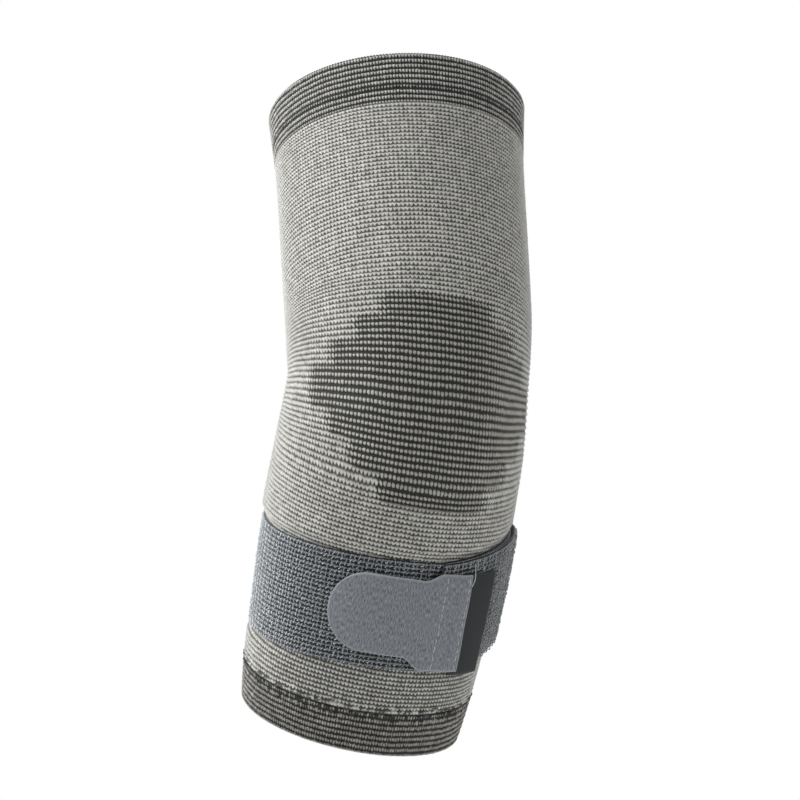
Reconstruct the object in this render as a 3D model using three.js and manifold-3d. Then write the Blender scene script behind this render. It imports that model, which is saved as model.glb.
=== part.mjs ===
// A knitted elbow sleeve with a lapped forearm strap, in the shape that it takes on a slightly bent arm.
// Millimetres, +Z up. The origin is the middle of the elbow, the point of the elbow faces -Y, and the
// upper arm and the forearm both lean back towards +Y.
//
// Places on the arm are given by three numbers: "along", the distance up the middle line of the arm from
// the elbow; "turn", the angle round that line from the point of the elbow towards +X; and "outset", the
// height above the smooth form of the arm in its sleeve.
import * as THREE from "three";
import { mergeVertices } from "three/addons/utils/BufferGeometryUtils.js";
import Module from "manifold-3d";

const wasm = await Module();
wasm.setup();

// Driving dimensions of the arm, in millimetres and degrees.
const UPPER_TILT = 25; // lean of the upper arm, back from upright
const FOREARM_TILT = 14.5; // lean of the forearm, back from upright
const BEND_LENGTH = 56; // length of the elbow's bend on the middle line
const UPPER_RIM = 104.8; // along, at the upper opening
const LOWER_RIM = -124.4; // along, at the forearm's opening
const CROOK_DENT = 2.2; // depth of the crease on the inside of the elbow
const CROOK_SPREAD = 5.5; // half width of that crease

// Outside radius of the single knit, before the strap and the crook press into it.
const ARM = [
  { along: -124.4, radius: 39.4 },
  { along: -108, radius: 41.2 },
  { along: -89, radius: 42.5 },
  { along: -55, radius: 44.1 },
  { along: -25, radius: 43.6 },
  { along: 0, radius: 42.7 },
  { along: 21, radius: 43.4 },
  { along: 52, radius: 44 },
  { along: 85, radius: 44.7 },
  { along: 104.8, radius: 46.3 },
];

// The knit.
const KNIT_WALL = 2; // thickness of the single knit
const WALES = 188; // columns of stitches round the sleeve
const COURSE = 1.65; // height of a row of stitches
const ROW_LEAN = { most: 1.2, level: -14 }; // how far the rows drop towards +X, and the turn they drop from
const WELT_WALL = 2.6; // thickness of a welt, which is knitted double
const WELT_PROUD = 0.2; // how far a welt stands out past the single knit
const UPPER_WELT_HEIGHT = 18.8;
const LOWER_WELT_HEIGHT = 15.9;
const GAP = 0.3; // clearance between pieces that meet

// The dark panel over the point of the elbow, from its top edge down: the along of each step's lower edge,
// the stitch columns that the step reaches to either side of its middle, and how many columns its middle lies
// towards +X from the panel's.
const PANEL_TOP = 17.5;
const PANEL_TURN = -4;
const PANEL = [
  { low: 11.4, halfWales: 13, aside: -0.8 },
  { low: 5.4, halfWales: 20, aside: -0.5 },
  { low: -0.6, halfWales: 27, aside: -0.2 },
  { low: -11.8, halfWales: 34, aside: 0.2 },
  { low: -18.5, halfWales: 27, aside: 0.5 },
  { low: -24.7, halfWales: 20, aside: 0.8 },
  { low: -32.4, halfWales: 13, aside: 2.1 },
];

// The strap: from its outer end, which carries the tab, round the back and the front to its hidden end.
const STRAP_WIDTH = 40;
const STRAP_THICKNESS = 1.6;
const STRAP_END_TURN = 10; // outer end, under the base of the tab
const STRAP_LAP = 65; // turn by which the outer end overlaps the hidden end
const STRAP_DROP = { from: 80, to: 125 }; // turn over which the outer layer comes down to the knit
const STRAP_SLOPE = 4; // width of the slope in the knit beside the strap
// The middle of the strap, which is wound a little askew; how far it presses into the knit there; and how
// much further its lower edge stands out from the tapering forearm than its upper edge does.
const STRAP_PATH = [
  { turn: 10, along: -71.5, press: 1.3, flare: 2 },
  { turn: 30, along: -69.3, press: 0.8, flare: 2.4 },
  { turn: 60, along: -66.2, press: 0.5, flare: 1.2 },
  { turn: 90, along: -66, press: 0.6, flare: 1.2 },
  { turn: 180, along: -70, press: 1.3, flare: 1.5 },
  { turn: 250, along: -75, press: 1.7, flare: 0.4 },
  { turn: 310, along: -73.2, press: 1.6, flare: 0.8 },
  { turn: 345, along: -71.7, press: 1.4, flare: 1.5 },
  { turn: 370, along: -71.5, press: 1.3, flare: 2 },
];

// The hook tab: a round tongue, shoulders, and a taller base that is sewn to the strap's outer end.
const TAB_THICKNESS = 1.4;
const TAB_MIDDLE = -71.5; // along
const TAB_TIP_TURN = -39;
const TAB_BASE_TURN = 23.1;
const TAB_TONGUE = 28.4; // height of the tongue
// The shoulders: the turns where each begins and ends, and how far the base stands out past the tongue.
const TAB_SHOULDER = {
  upper: { from: 1.5, to: 10, rise: 2.9 },
  lower: { from: -2.5, to: 6, rise: 4 },
};
const TAB_RISE = { from: -6, to: 7 }; // turn over which the tab climbs onto the strap's outer end

// The folded label, held under the base of the tab.
const LABEL_THICKNESS = 0.7;
const LABEL_MIDDLE = -73; // along
const LABEL_HEIGHT = 37;
const LABEL_TURNS = { from: 20, toLow: 37.9, toHigh: 39.8 }; // it narrows towards its lower end
const LABEL_LIFT = { from: 14.5, to: 19 }; // turn over which the tab climbs onto the label

// Fineness of the facets.
const WALES_PER_FACET = 4;
const BEND_STEP = 7;
const LEAST_STEP = 1; // rows closer than this become one
const STEP_SLACK = 1e-6; // keeps a whole number of steps whole
const ROWS_ACROSS = 4; // spans of the tab and the label from edge to edge
const RIM_ANGLES = [30, 60, 80]; // points of a welt's round edge
const TIP_TURNS = [0.15, 0.8, 2, 4, 7]; // points of the tab's round tip, from its end

// Yarns and tapes.
const FINISHES = {
  body: { color: 0x9b9a94, roughness: 0.9, metalness: 0 },
  panel: { color: 0x4a4a47, roughness: 0.9, metalness: 0 },
  welt: { color: 0x62625f, roughness: 0.9, metalness: 0 },
  strap: { color: 0x515457, roughness: 0.95, metalness: 0 },
  tab: { color: 0x6a6e73, roughness: 0.75, metalness: 0 },
  label: { color: 0x1c1d1f, roughness: 0.6, metalness: 0 },
};

const FACET_TURN = (360 / WALES) * WALES_PER_FACET;
const BEND = THREE.MathUtils.degToRad(UPPER_TILT + FOREARM_TILT);
const BEND_RADIUS = BEND_LENGTH / BEND;
const ELBOW_TILT = THREE.MathUtils.degToRad((UPPER_TILT - FOREARM_TILT) / 2);

/** A smooth curve through one column of a table, read against another. */
function curveThrough(table, from, to) {
  const curve = new THREE.CubicInterpolant(
    table.map((row) => row[from]),
    table.map((row) => row[to]),
    1,
  );
  return (value) => curve.evaluate(value)[0];
}

const armRadius = curveThrough(ARM, "along", "radius");
const pathAlong = curveThrough(STRAP_PATH, "turn", "along");
const pathPress = curveThrough(STRAP_PATH, "turn", "press");
const pathFlare = curveThrough(STRAP_PATH, "turn", "flare");

/** The middle line of the arm: straight, then a round bend at the elbow, then straight. */
function armAxis(along) {
  const inBend = THREE.MathUtils.clamp(along, -BEND_LENGTH / 2, BEND_LENGTH / 2);
  const tilt = ELBOW_TILT + inBend / BEND_RADIUS;
  const up = new THREE.Vector3(0, Math.sin(tilt), Math.cos(tilt));
  const point = new THREE.Vector3(
    0,
    BEND_RADIUS * (Math.cos(ELBOW_TILT) - Math.cos(tilt)),
    BEND_RADIUS * (Math.sin(tilt) - Math.sin(ELBOW_TILT)),
  );
  point.addScaledVector(up, along - inBend);
  return { point, front: new THREE.Vector3(0, -up.z, up.y) };
}

/** The point at a place on the arm. */
function armPoint({ along, turn, outset }) {
  const { point, front } = armAxis(along);
  const angle = THREE.MathUtils.degToRad(turn);
  const outwards = front.multiplyScalar(Math.cos(angle));
  outwards.x = Math.sin(angle);
  return point.addScaledVector(outwards, armRadius(along) + outset);
}

/** 0 before from, 1 after to, and smooth between. */
function ease(value, { from, to }) {
  return THREE.MathUtils.smoothstep(value, from, to);
}

/** The strap's path at a turn. The hidden end follows the same path as what lies over it. */
function strapPath(turn) {
  const once = STRAP_END_TURN + THREE.MathUtils.euclideanModulo(turn - STRAP_END_TURN, 360);
  return { middle: pathAlong(once), press: pathPress(once), flare: pathFlare(once) };
}

/** Outset of the knit that the strap presses in: what the strap and the pieces on it lie on. */
function strapSeat(along, turn) {
  const { middle, press, flare } = strapPath(turn);
  return -press - (flare * (along - middle)) / STRAP_WIDTH;
}

/** Outset of the outside of the knit, with the crease in the crook and the dent under the strap. */
function knitOutset(along, turn) {
  const back = (1 - Math.cos(THREE.MathUtils.degToRad(turn))) / 2;
  const crease = CROOK_DENT * back ** 3 * Math.exp(-((along / CROOK_SPREAD) ** 2));
  const pastStrap = Math.abs(along - strapPath(turn).middle) - STRAP_WIDTH / 2;
  const pressed = 1 - ease(pastStrap, { from: 0, to: STRAP_SLOPE });
  return strapSeat(along, turn) * pressed - crease;
}

/** Evenly spaced values from first to last, no further apart than step. */
function steps(first, last, step) {
  const count = Math.ceil((last - first) / step - STEP_SLACK);
  return Array.from({ length: count + 1 }, (_, i) => first + ((last - first) * i) / count);
}

/** The alongs where the arm changes shape, between low and high and with both of them. */
function stations(low, high) {
  const bend = steps(-BEND_LENGTH / 2, BEND_LENGTH / 2, BEND_STEP);
  const all = [...ARM.map((row) => row.along), ...bend].sort((a, b) => a - b);
  const kept = [low];
  for (const along of all) {
    if (along > kept.at(-1) + LEAST_STEP && along < high - LEAST_STEP) kept.push(along);
  }
  return [...kept, high];
}

/**
 * A closed solid wrapped round the arm. rowsAt(turn) lists the solid's rows from low to high, each with
 * its along, the outsets of its inner and outer skin, and its own turn where that differs. A loop goes the
 * whole way round.
 */
function wrap(turns, rowsAt, loop) {
  const positions = [];
  let rowCount = 0;
  for (const turn of turns) {
    const rows = rowsAt(turn);
    rowCount = rows.length;
    const outer = rows.map((row) => armPoint({ along: row.along, turn: row.turn ?? turn, outset: row.outer }));
    const inner = rows.map((row) => armPoint({ along: row.along, turn: row.turn ?? turn, outset: row.inner }));
    for (const p of [...outer, ...inner.reverse()]) positions.push(p.x, p.y, p.z);
  }
  const size = 2 * rowCount;
  const faces = [];
  const quad = (a, b, c, d) => faces.push(a, b, c, a, c, d);
  const spans = loop ? turns.length : turns.length - 1;
  for (let i = 0; i < spans; i++) {
    const here = i * size;
    const next = ((i + 1) % turns.length) * size;
    for (let j = 0; j < size; j++) {
      const k = (j + 1) % size;
      quad(here + j, next + j, next + k, here + k);
    }
  }
  if (!loop) {
    const last = (turns.length - 1) * size;
    for (let j = 0; j < rowCount - 1; j++) {
      const [low, high] = [size - 1 - j, size - 2 - j];
      quad(j, j + 1, high, low);
      quad(last + low, last + high, last + j + 1, last + j);
    }
  }
  const geometry = new THREE.BufferGeometry();
  geometry.setAttribute("position", new THREE.Float32BufferAttribute(positions, 3));
  geometry.setIndex(faces);
  return geometry;
}

/** A closed geometry as a solid for joining and cutting. */
function toSolid(geometry) {
  const merged = mergeVertices(geometry);
  return new wasm.Manifold(
    new wasm.Mesh({
      numProp: 3,
      vertProperties: merged.getAttribute("position").array,
      triVerts: new Uint32Array(merged.index.array),
    }),
  );
}

/** A solid as a geometry. */
function toGeometry(solid) {
  const { vertProperties, triVerts } = solid.getMesh();
  const geometry = new THREE.BufferGeometry();
  geometry.setAttribute("position", new THREE.BufferAttribute(vertProperties, 3));
  geometry.setIndex(Array.from(triVerts));
  return geometry;
}

/** A named piece with flat facets. */
function piece(name, geometry, finish) {
  const facets = geometry.toNonIndexed();
  facets.computeVertexNormals();
  const mesh = new THREE.Mesh(facets, new THREE.MeshStandardMaterial(finish));
  mesh.name = name;
  return mesh;
}

const allRound = steps(0, 360, FACET_TURN).slice(0, -1);

/** Distances from the middle of the strap at which its own surface, or the knit under it, changes shape. */
const strapRows = [-STRAP_WIDTH / 2, -STRAP_WIDTH / 4, 0, STRAP_WIDTH / 4, STRAP_WIDTH / 2];

/** The tube of single knit between the two welts, with no window in it. */
function knitTube() {
  const low = LOWER_RIM + LOWER_WELT_HEIGHT + GAP / 2;
  const high = UPPER_RIM - UPPER_WELT_HEIGHT - GAP / 2;
  const pastStrap = STRAP_WIDTH / 2 + STRAP_SLOPE;
  const underStrap = [-pastStrap, ...strapRows, pastStrap];
  const aboveStrap = stations(-BEND_LENGTH / 2 - BEND_STEP, high);
  const rowsAt = (turn) => {
    const { middle } = strapPath(turn);
    const alongs = [low, ...underStrap.map((across) => middle + across), ...aboveStrap];
    return alongs.map((along) => {
      const outer = knitOutset(along, turn);
      return { along, inner: outer - KNIT_WALL, outer };
    });
  };
  return toSolid(wrap(allRound, rowsAt, true));
}

/** How far a row of stitches lies above its mean place at a turn. */
function rowLean(turn) {
  return -ROW_LEAN.most * Math.sin(THREE.MathUtils.degToRad(turn - ROW_LEAN.level));
}

/** A block through the knit with the panel's stepped outline, grown by a clearance on every side. */
function panelBlock(clearance) {
  const inside = -2 * KNIT_WALL;
  const outside = KNIT_WALL;
  const growTurn = THREE.MathUtils.radToDeg(clearance / armRadius(0));
  const widest = Math.max(...PANEL.map((step) => step.halfWales));
  let top = PANEL_TOP;
  let aboveWidest = true;
  let block = null;
  for (const { low: bottom, halfWales, aside } of PANEL) {
    if (halfWales === widest) aboveWidest = false;
    // A narrow step reaches half a row into its wider neighbour, so that the joined steps overlap.
    const lap = halfWales === widest ? 0 : COURSE / 2;
    const low = bottom - clearance - (aboveWidest ? lap : 0);
    const high = top + clearance + (aboveWidest ? 0 : lap);
    const half = (halfWales * 360) / WALES + growTurn;
    const middle = PANEL_TURN + (aside * 360) / WALES;
    const alongs = steps(low, high, BEND_STEP);
    const rowsAt = (turn) =>
      alongs.map((along) => ({ along: along + rowLean(turn), inner: inside, outer: outside }));
    const step = toSolid(wrap(steps(middle - half, middle + half, FACET_TURN), rowsAt, false));
    block = block ? block.add(step) : step;
    top = bottom;
  }
  return block;
}

/** A welt: a double band with a round free edge, from its seam with the single knit to its rim. */
function welt(seam, rim) {
  const towardsRim = Math.sign(rim - seam);
  const outer = WELT_PROUD;
  const inner = WELT_PROUD - WELT_WALL;
  const round = WELT_WALL / 2;
  const start = seam + (towardsRim * GAP) / 2;
  const band = [start, (start + rim) / 2, rim - towardsRim * round].map((along) => ({ along, inner, outer }));
  const edge = RIM_ANGLES.map((degrees) => {
    const angle = THREE.MathUtils.degToRad(degrees);
    const drawnIn = round * (1 - Math.cos(angle));
    return {
      along: rim - towardsRim * round * (1 - Math.sin(angle)),
      inner: inner + drawnIn,
      outer: outer - drawnIn,
    };
  });
  const rows = [...band, ...edge].sort((a, b) => a.along - b.along);
  return wrap(allRound, () => rows, true);
}

/** Height of the strap's inner skin above its seat: one strap higher where it lies over its hidden end. */
function strapLift(turn) {
  return GAP + (STRAP_THICKNESS + GAP) * (1 - ease(turn, STRAP_DROP));
}

/** The strap: a band with softened edges, wound a little more than once round the forearm. */
function strap() {
  const half = STRAP_WIDTH / 2;
  const soft = STRAP_THICKNESS / 4;
  const profile = [
    { across: -half, drawnIn: soft },
    { across: -half + soft, drawnIn: 0 },
    ...strapRows.slice(1, -1).map((across) => ({ across, drawnIn: 0 })),
    { across: half - soft, drawnIn: 0 },
    { across: half, drawnIn: soft },
  ];
  const rowsAt = (turn) =>
    profile.map(({ across, drawnIn }) => {
      const along = strapPath(turn).middle + across;
      const inner = strapSeat(along, turn) + strapLift(turn);
      return { along, inner: inner + drawnIn, outer: inner + STRAP_THICKNESS - drawnIn };
    });
  const whole = steps(STRAP_END_TURN, STRAP_END_TURN + 360, FACET_TURN);
  const lap = steps(STRAP_END_TURN + 360, STRAP_END_TURN + 360 + STRAP_LAP, FACET_TURN).slice(1);
  return wrap([...whole, ...lap], rowsAt, false);
}

/** Height of the top of the strap's outer layer above its seat. */
const lappedHeight = strapLift(STRAP_END_TURN) + STRAP_THICKNESS;

/** Half height of the tab on one side of its middle: a round tip, a level tongue and a shoulder. */
function tabHalfHeight(turn, shoulder) {
  const radius = TAB_TONGUE / 2;
  const surface = armRadius(TAB_MIDDLE) + lappedHeight;
  const fromTip = THREE.MathUtils.degToRad(turn - TAB_TIP_TURN) * surface;
  const tip = Math.min(fromTip, radius);
  const tongue = Math.sqrt(radius ** 2 - (radius - tip) ** 2);
  return tongue + shoulder.rise * ease(turn, shoulder);
}

/** Height of the tab's hook side above the seat: on one layer of strap, on two, then on the label too. */
function tabLift(turn) {
  const onHidden = 2 * GAP + STRAP_THICKNESS;
  const ontoStrap = (STRAP_THICKNESS + GAP) * ease(turn, TAB_RISE);
  const ontoLabel = (LABEL_THICKNESS + GAP) * ease(turn, LABEL_LIFT);
  return onHidden + ontoStrap + ontoLabel;
}

/** The hook tab, lying on the strap. */
function closureTab() {
  const tip = TIP_TURNS.map((turn) => TAB_TIP_TURN + turn);
  const turns = [...tip.slice(0, -1), ...steps(tip.at(-1), TAB_BASE_TURN, FACET_TURN / 2)];
  const rowsAt = (turn) => {
    const low = -tabHalfHeight(turn, TAB_SHOULDER.lower);
    const high = tabHalfHeight(turn, TAB_SHOULDER.upper);
    return steps(low, high, (high - low) / ROWS_ACROSS).map((across) => {
      const along = TAB_MIDDLE + across;
      const inner = strapSeat(along, turn) + tabLift(turn);
      return { along, inner, outer: inner + TAB_THICKNESS };
    });
  };
  return wrap(turns, rowsAt, false);
}

/** The folded label, lying on the strap's outer end with one margin under the tab. */
function label() {
  const low = LABEL_MIDDLE - LABEL_HEIGHT / 2;
  const { from, toLow, toHigh } = LABEL_TURNS;
  const rowsAt = (topTurn) =>
    steps(low, low + LABEL_HEIGHT, LABEL_HEIGHT / ROWS_ACROSS).map((along) => {
      const to = THREE.MathUtils.mapLinear(along, low, low + LABEL_HEIGHT, toLow, toHigh);
      const turn = THREE.MathUtils.mapLinear(topTurn, from, toHigh, from, to);
      const inner = strapSeat(along, turn) + lappedHeight + GAP;
      return { along, turn, inner, outer: inner + LABEL_THICKNESS };
    });
  return wrap(steps(from, toHigh, FACET_TURN / 2), rowsAt, false);
}

const tube = knitTube();
const sleeve = new THREE.Group();
sleeve.add(
  piece("sleeve_body", toGeometry(tube.subtract(panelBlock(GAP / 2))), FINISHES.body),
  piece("elbow_panel", toGeometry(tube.intersect(panelBlock(-GAP / 2))), FINISHES.panel),
  piece("upper_welt", welt(UPPER_RIM - UPPER_WELT_HEIGHT, UPPER_RIM), FINISHES.welt),
  piece("lower_welt", welt(LOWER_RIM + LOWER_WELT_HEIGHT, LOWER_RIM), FINISHES.welt),
);

const fastening = new THREE.Group();
fastening.add(
  piece("strap", strap(), FINISHES.strap),
  piece("closure_tab", closureTab(), FINISHES.tab),
  piece("label", label(), FINISHES.label),
);
sleeve.add(fastening);

export default sleeve;
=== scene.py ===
"""A knitted elbow sleeve with a lapped strap, dressed and lit for its picture.

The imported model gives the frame: the smooth walls of the sleeve, of the strap and of what is sewn to it.
This script puts the stitches, the loops, the tapes and the threads in their places.

Places on the sleeve are given by three numbers: along, the distance up its middle line from the elbow;
turn, the angle round that line from the point of the elbow towards +X; and outset, the height above the
sleeve's smooth form. Lengths are in millimetres and angles in degrees. Meshes are made in metres, in the
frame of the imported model.
"""

import logging
import math
from abc import ABC, abstractmethod
from dataclasses import dataclass, field
from enum import Enum
from typing import Any

import bpy
import numpy as np
from mathutils import Matrix, Vector


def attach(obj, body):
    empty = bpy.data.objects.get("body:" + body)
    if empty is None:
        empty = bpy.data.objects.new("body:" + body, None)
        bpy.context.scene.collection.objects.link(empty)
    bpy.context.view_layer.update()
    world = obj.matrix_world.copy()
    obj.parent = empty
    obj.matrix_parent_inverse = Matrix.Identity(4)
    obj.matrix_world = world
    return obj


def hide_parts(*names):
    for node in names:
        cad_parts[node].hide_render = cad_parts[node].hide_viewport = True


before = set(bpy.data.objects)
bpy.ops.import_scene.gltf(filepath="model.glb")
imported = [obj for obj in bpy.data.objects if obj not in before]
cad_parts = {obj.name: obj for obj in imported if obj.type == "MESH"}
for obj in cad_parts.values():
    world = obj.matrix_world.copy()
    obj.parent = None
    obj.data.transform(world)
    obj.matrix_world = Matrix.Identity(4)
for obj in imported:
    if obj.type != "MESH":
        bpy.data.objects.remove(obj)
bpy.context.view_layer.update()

log = logging.getLogger("elbow_sleeve")

Array = np.ndarray
Piece = bpy.types.Object
Tree = bpy.types.NodeTree
Outputs = tuple[bpy.types.NodeSocket, bpy.types.NodeSocket]

MM = 0.001
WALES = 188  # columns of stitches round the sleeve
WALE_TURN = 360 / WALES
GAP = 0.3  # clearance between the solids of pieces that meet
ROW_DIGITS = 5  # to which rows are rounded, so that equal ones are found
EMPTIEST = -0.4  # the least fullness, in the gaps between stitches
BACK_FULLNESS = 0.4  # of the plain inside of the knit
BACK_TONE = 0.9
SHARP = 50.0  # angle from which an edge of a tape is drawn sharp
ASKEW = (0.31, 0.52, 0.79)  # a direction that no thread follows
THREAD_TAPER = 0.65  # how much thinner a thread is at its ends
TAPER_POWER = 8  # how late the thinning sets in
NOISE_SPAN = (0.3, 0.7)  # what a noise keeps within, nearly everywhere
MIX_A, MIX_B, MIX_OUT = 6, 7, 2  # places of the colours on a Mix node
SEED = 1904


class Slot(Enum):
    """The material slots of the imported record."""

    BODY = "body_knit"
    PANEL = "panel_knit"
    WELT = "welt_knit"
    STRAP = "loop_strap"
    TAB = "hook_tab"
    LABEL = "woven_label"


class Held(Enum):
    """How a cloth is held."""

    STRETCHED = "stretched"
    LAID = "laid"


class End(Enum):
    """An end of the sleeve, by the way its rim lies from its seam."""

    UPPER = 1
    LOWER = -1


def linear(colour: str) -> tuple[float, float, float, float]:
    """Turns an sRGB hex colour to linear light.

    Args:
        colour: the colour, as "#rrggbb".

    Returns:
        Red, green, blue and an alpha of 1.
    """
    parts = [int(colour[i : i + 2], 16) / 255 for i in (1, 3, 5)]
    red, green, blue = (
        part / 12.92 if part <= 0.04045 else ((part + 0.055) / 1.055) ** 2.4 for part in parts
    )
    return red, green, blue, 1.0


def ease(value: Array, start: float, end: float) -> Array:
    """Goes smoothly from 0 at start to 1 at end.

    Args:
        value: the values to ease.
        start: the value that gives 0.
        end: the value that gives 1.

    Returns:
        The eased values.
    """
    share = np.clip((value - start) / (end - start), 0, 1)
    return share * share * (3 - 2 * share)


def add_node(
    tree: Tree, kind: str, inputs: dict[str | int, Any] | None = None, **settings: Any
) -> bpy.types.Node:
    """Adds a node with its settings and links.

    Args:
        tree: the tree that the node goes into.
        kind: Blender's name for the kind of node, without the ShaderNode in front of it.
        inputs: a value, or an output to link, for each input by name or place.
        settings: properties of the node.

    Returns:
        The new node.
    """
    node = tree.nodes.new("ShaderNode" + kind)
    for name, value in settings.items():
        setattr(node, name, value)
    for name, value in (inputs or {}).items():
        if isinstance(value, bpy.types.NodeSocket):
            tree.links.new(value, node.inputs[name])
        else:
            node.inputs[name].default_value = value
    return node


def new_material(name: str) -> tuple[bpy.types.Material, Tree, bpy.types.Node]:
    """Makes a material with an empty surface.

    Args:
        name: the material's name.

    Returns:
        The material, its node tree and its output node.
    """
    material = bpy.data.materials.new(name)
    material.use_nodes = True
    tree = material.node_tree
    tree.nodes.clear()
    return material, tree, add_node(tree, "OutputMaterial")


def unit(vectors: Array) -> Array:
    """Brings vectors, one to a row, to a length of 1."""
    return vectors / np.linalg.norm(vectors, axis=1, keepdims=True)


def arched(share: Array, thread: float, arch: tuple[float, float]) -> Array:
    """Follows a stitch out of the cloth and back.

    Args:
        share: share of the way along the stitch.
        thread: thickness of the thread.
        arch: how far the stitch stands up, and how far its ends go in, in threads.

    Returns:
        Heights above the cloth.
    """
    return thread * (arch[0] * np.sin(math.pi * share) - arch[1])


def make_piece(
    name: str, points: Array, faces: list[Array], fields: dict[str, Array] | None = None
) -> Piece:
    """Makes a smooth mesh object from arrays.

    Args:
        name: the piece's name.
        points: its points, in millimetres.
        faces: arrays of faces, each array with faces of one number of corners.
        fields: a number, or a vector, for each point, by name.

    Returns:
        The object, linked to the scene.
    """
    used, places = np.unique(np.concatenate([part.ravel() for part in faces]), return_inverse=True)
    sizes = np.concatenate([np.full(len(part), part.shape[1]) for part in faces])
    mesh = bpy.data.meshes.new(name)
    mesh.vertices.add(len(used))
    mesh.vertices.foreach_set("co", (points[used] * MM).astype(np.float32).ravel())
    mesh.loops.add(len(places))
    mesh.loops.foreach_set("vertex_index", places.astype(np.int32))
    mesh.polygons.add(len(sizes))
    mesh.polygons.foreach_set("loop_start", (np.cumsum(sizes) - sizes).astype(np.int32))
    mesh.polygons.foreach_set("use_smooth", np.ones(len(sizes), bool))
    for field_name, values in (fields or {}).items():
        vector = values.ndim == 2
        attribute = mesh.attributes.new(field_name, "FLOAT_VECTOR" if vector else "FLOAT", "POINT")
        attribute.data.foreach_set("vector" if vector else "value", values[used].astype(np.float32).ravel())
    mesh.update(calc_edges=True)
    mesh.validate()
    piece = bpy.data.objects.new(name, mesh)
    bpy.context.scene.collection.objects.link(piece)
    return piece


def closed_sheet(outer: Array, inner: Array) -> tuple[Array, list[Array]]:
    """Closes a sheet from the grids of its two sides.

    Args:
        outer: points of the outer side, rows from the top down and columns from left to right, seen from
            outside.
        inner: points of the inner side, in the same order.

    Returns:
        All points, and the faces.
    """
    rows, columns = outer.shape[:2]
    front = np.arange(rows * columns).reshape(rows, columns)
    back = front + rows * columns
    sides = [(front[0], back[0]), (front[-1, ::-1], back[-1, ::-1])]
    sides += [(front[::-1, 0], back[::-1, 0]), (front[:, -1], back[:, -1])]
    faces = [quads(front), quads(back)[:, ::-1]]
    for near, far in sides:
        faces.append(np.stack([near[:-1], near[1:], far[1:], far[:-1]], axis=1))
    return np.concatenate([outer.reshape(-1, 3), inner.reshape(-1, 3)]), faces


def quads(grid: Array) -> Array:
    """Lists the faces of a grid of point numbers, counter-clockwise with rows down and columns right."""
    corners = [grid[:-1, :-1], grid[1:, :-1], grid[1:, 1:], grid[:-1, 1:]]
    return np.stack([corner.ravel() for corner in corners], axis=1)


def dress(piece: Piece, material: bpy.types.Material, node: str) -> Piece:
    """Gives a piece its finish and its place in the frame, and reports it.

    Args:
        piece: the piece.
        material: its finish.
        node: the solid that the piece stands for, alone or with others.

    Returns:
        The piece.
    """
    piece.data.materials.append(material)
    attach(piece, "root")
    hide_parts(node)
    triangles = sum(len(face.vertices) - 2 for face in piece.data.polygons)
    log.info("%s: %d triangles", piece.name, triangles)
    return piece


@dataclass(frozen=True)
class SmoothCurve:
    """A smooth curve through points, whose slope at a point is the mean of the slopes beside it."""

    places: tuple[float, ...]
    values: tuple[float, ...]

    def at(self, place: Array) -> Array:
        """Reads the curve.

        Args:
            place: where to read it.

        Returns:
            Its values there.
        """
        places, values = np.array(self.places), np.array(self.values)
        slopes = np.diff(values) / np.diff(places)
        slopes = np.concatenate([slopes[:1], (slopes[1:] + slopes[:-1]) / 2, slopes[-1:]])
        place = np.clip(place, places[0], places[-1])
        left = np.clip(np.searchsorted(places, place, side="right") - 1, 0, len(places) - 2)
        width = places[left + 1] - places[left]
        share = (place - places[left]) / width
        rise = values[left + 1] - values[left]
        bend = share * (1 - share)
        bend *= (1 - share) * (slopes[left] * width - rise) - share * (slopes[left + 1] * width - rise)
        return values[left] + rise * share + bend


@dataclass(frozen=True)
class SleeveForm:
    """The smooth form of the sleeve: a straight lower tube, a round bend and a straight upper tube."""

    upper_tilt: float = 25.0
    lower_tilt: float = 14.5
    bend_length: float = 56.0
    crook_dent: float = 2.2  # depth of the crease on the inside of the bend
    crook_spread: float = 5.5  # half of its height
    crook_power: int = 3  # how quickly the crease dies away round the sleeve
    radius: SmoothCurve = SmoothCurve(
        (-124.4, -108, -89, -55, -25, 0, 21, 52, 85, 104.8),
        (39.4, 41.2, 42.5, 44.1, 43.6, 42.7, 43.4, 44, 44.7, 46.3),
    )

    def point(self, along: Array, turn: Array, outset: Array) -> Array:
        """Finds the point at a place on the sleeve.

        Args:
            along: distance up the middle line.
            turn: angle round it.
            outset: height above the smooth form.

        Returns:
            Points, with X, Y and Z on the last axis.
        """
        bend_radius = self.bend_length / math.radians(self.upper_tilt + self.lower_tilt)
        elbow_tilt = math.radians(self.upper_tilt - self.lower_tilt) / 2
        in_bend = np.clip(along, -self.bend_length / 2, self.bend_length / 2)
        tilt = elbow_tilt + in_bend / bend_radius
        straight = along - in_bend
        middle_y = bend_radius * (math.cos(elbow_tilt) - np.cos(tilt)) + straight * np.sin(tilt)
        middle_z = bend_radius * (np.sin(tilt) - math.sin(elbow_tilt)) + straight * np.cos(tilt)
        angle = np.radians(turn)
        reach = self.radius.at(along) + outset
        forwards = reach * np.cos(angle)
        y, z = middle_y - forwards * np.cos(tilt), middle_z + forwards * np.sin(tilt)
        return np.stack(np.broadcast_arrays(reach * np.sin(angle), y, z), axis=-1)

    def crease(self, along: Array, turn: Array) -> Array:
        """Gives the depth of the crease on the inside of the elbow.

        Args:
            along: distance up the middle line.
            turn: angle round it.

        Returns:
            Depths.
        """
        backwards = (1 - np.cos(np.radians(turn))) / 2
        return self.crook_dent * backwards**self.crook_power * np.exp(-((along / self.crook_spread) ** 2))


WINDING_TURNS = (10, 30, 60, 90, 180, 250, 310, 345, 370)  # where the lie of the strap is given


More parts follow.
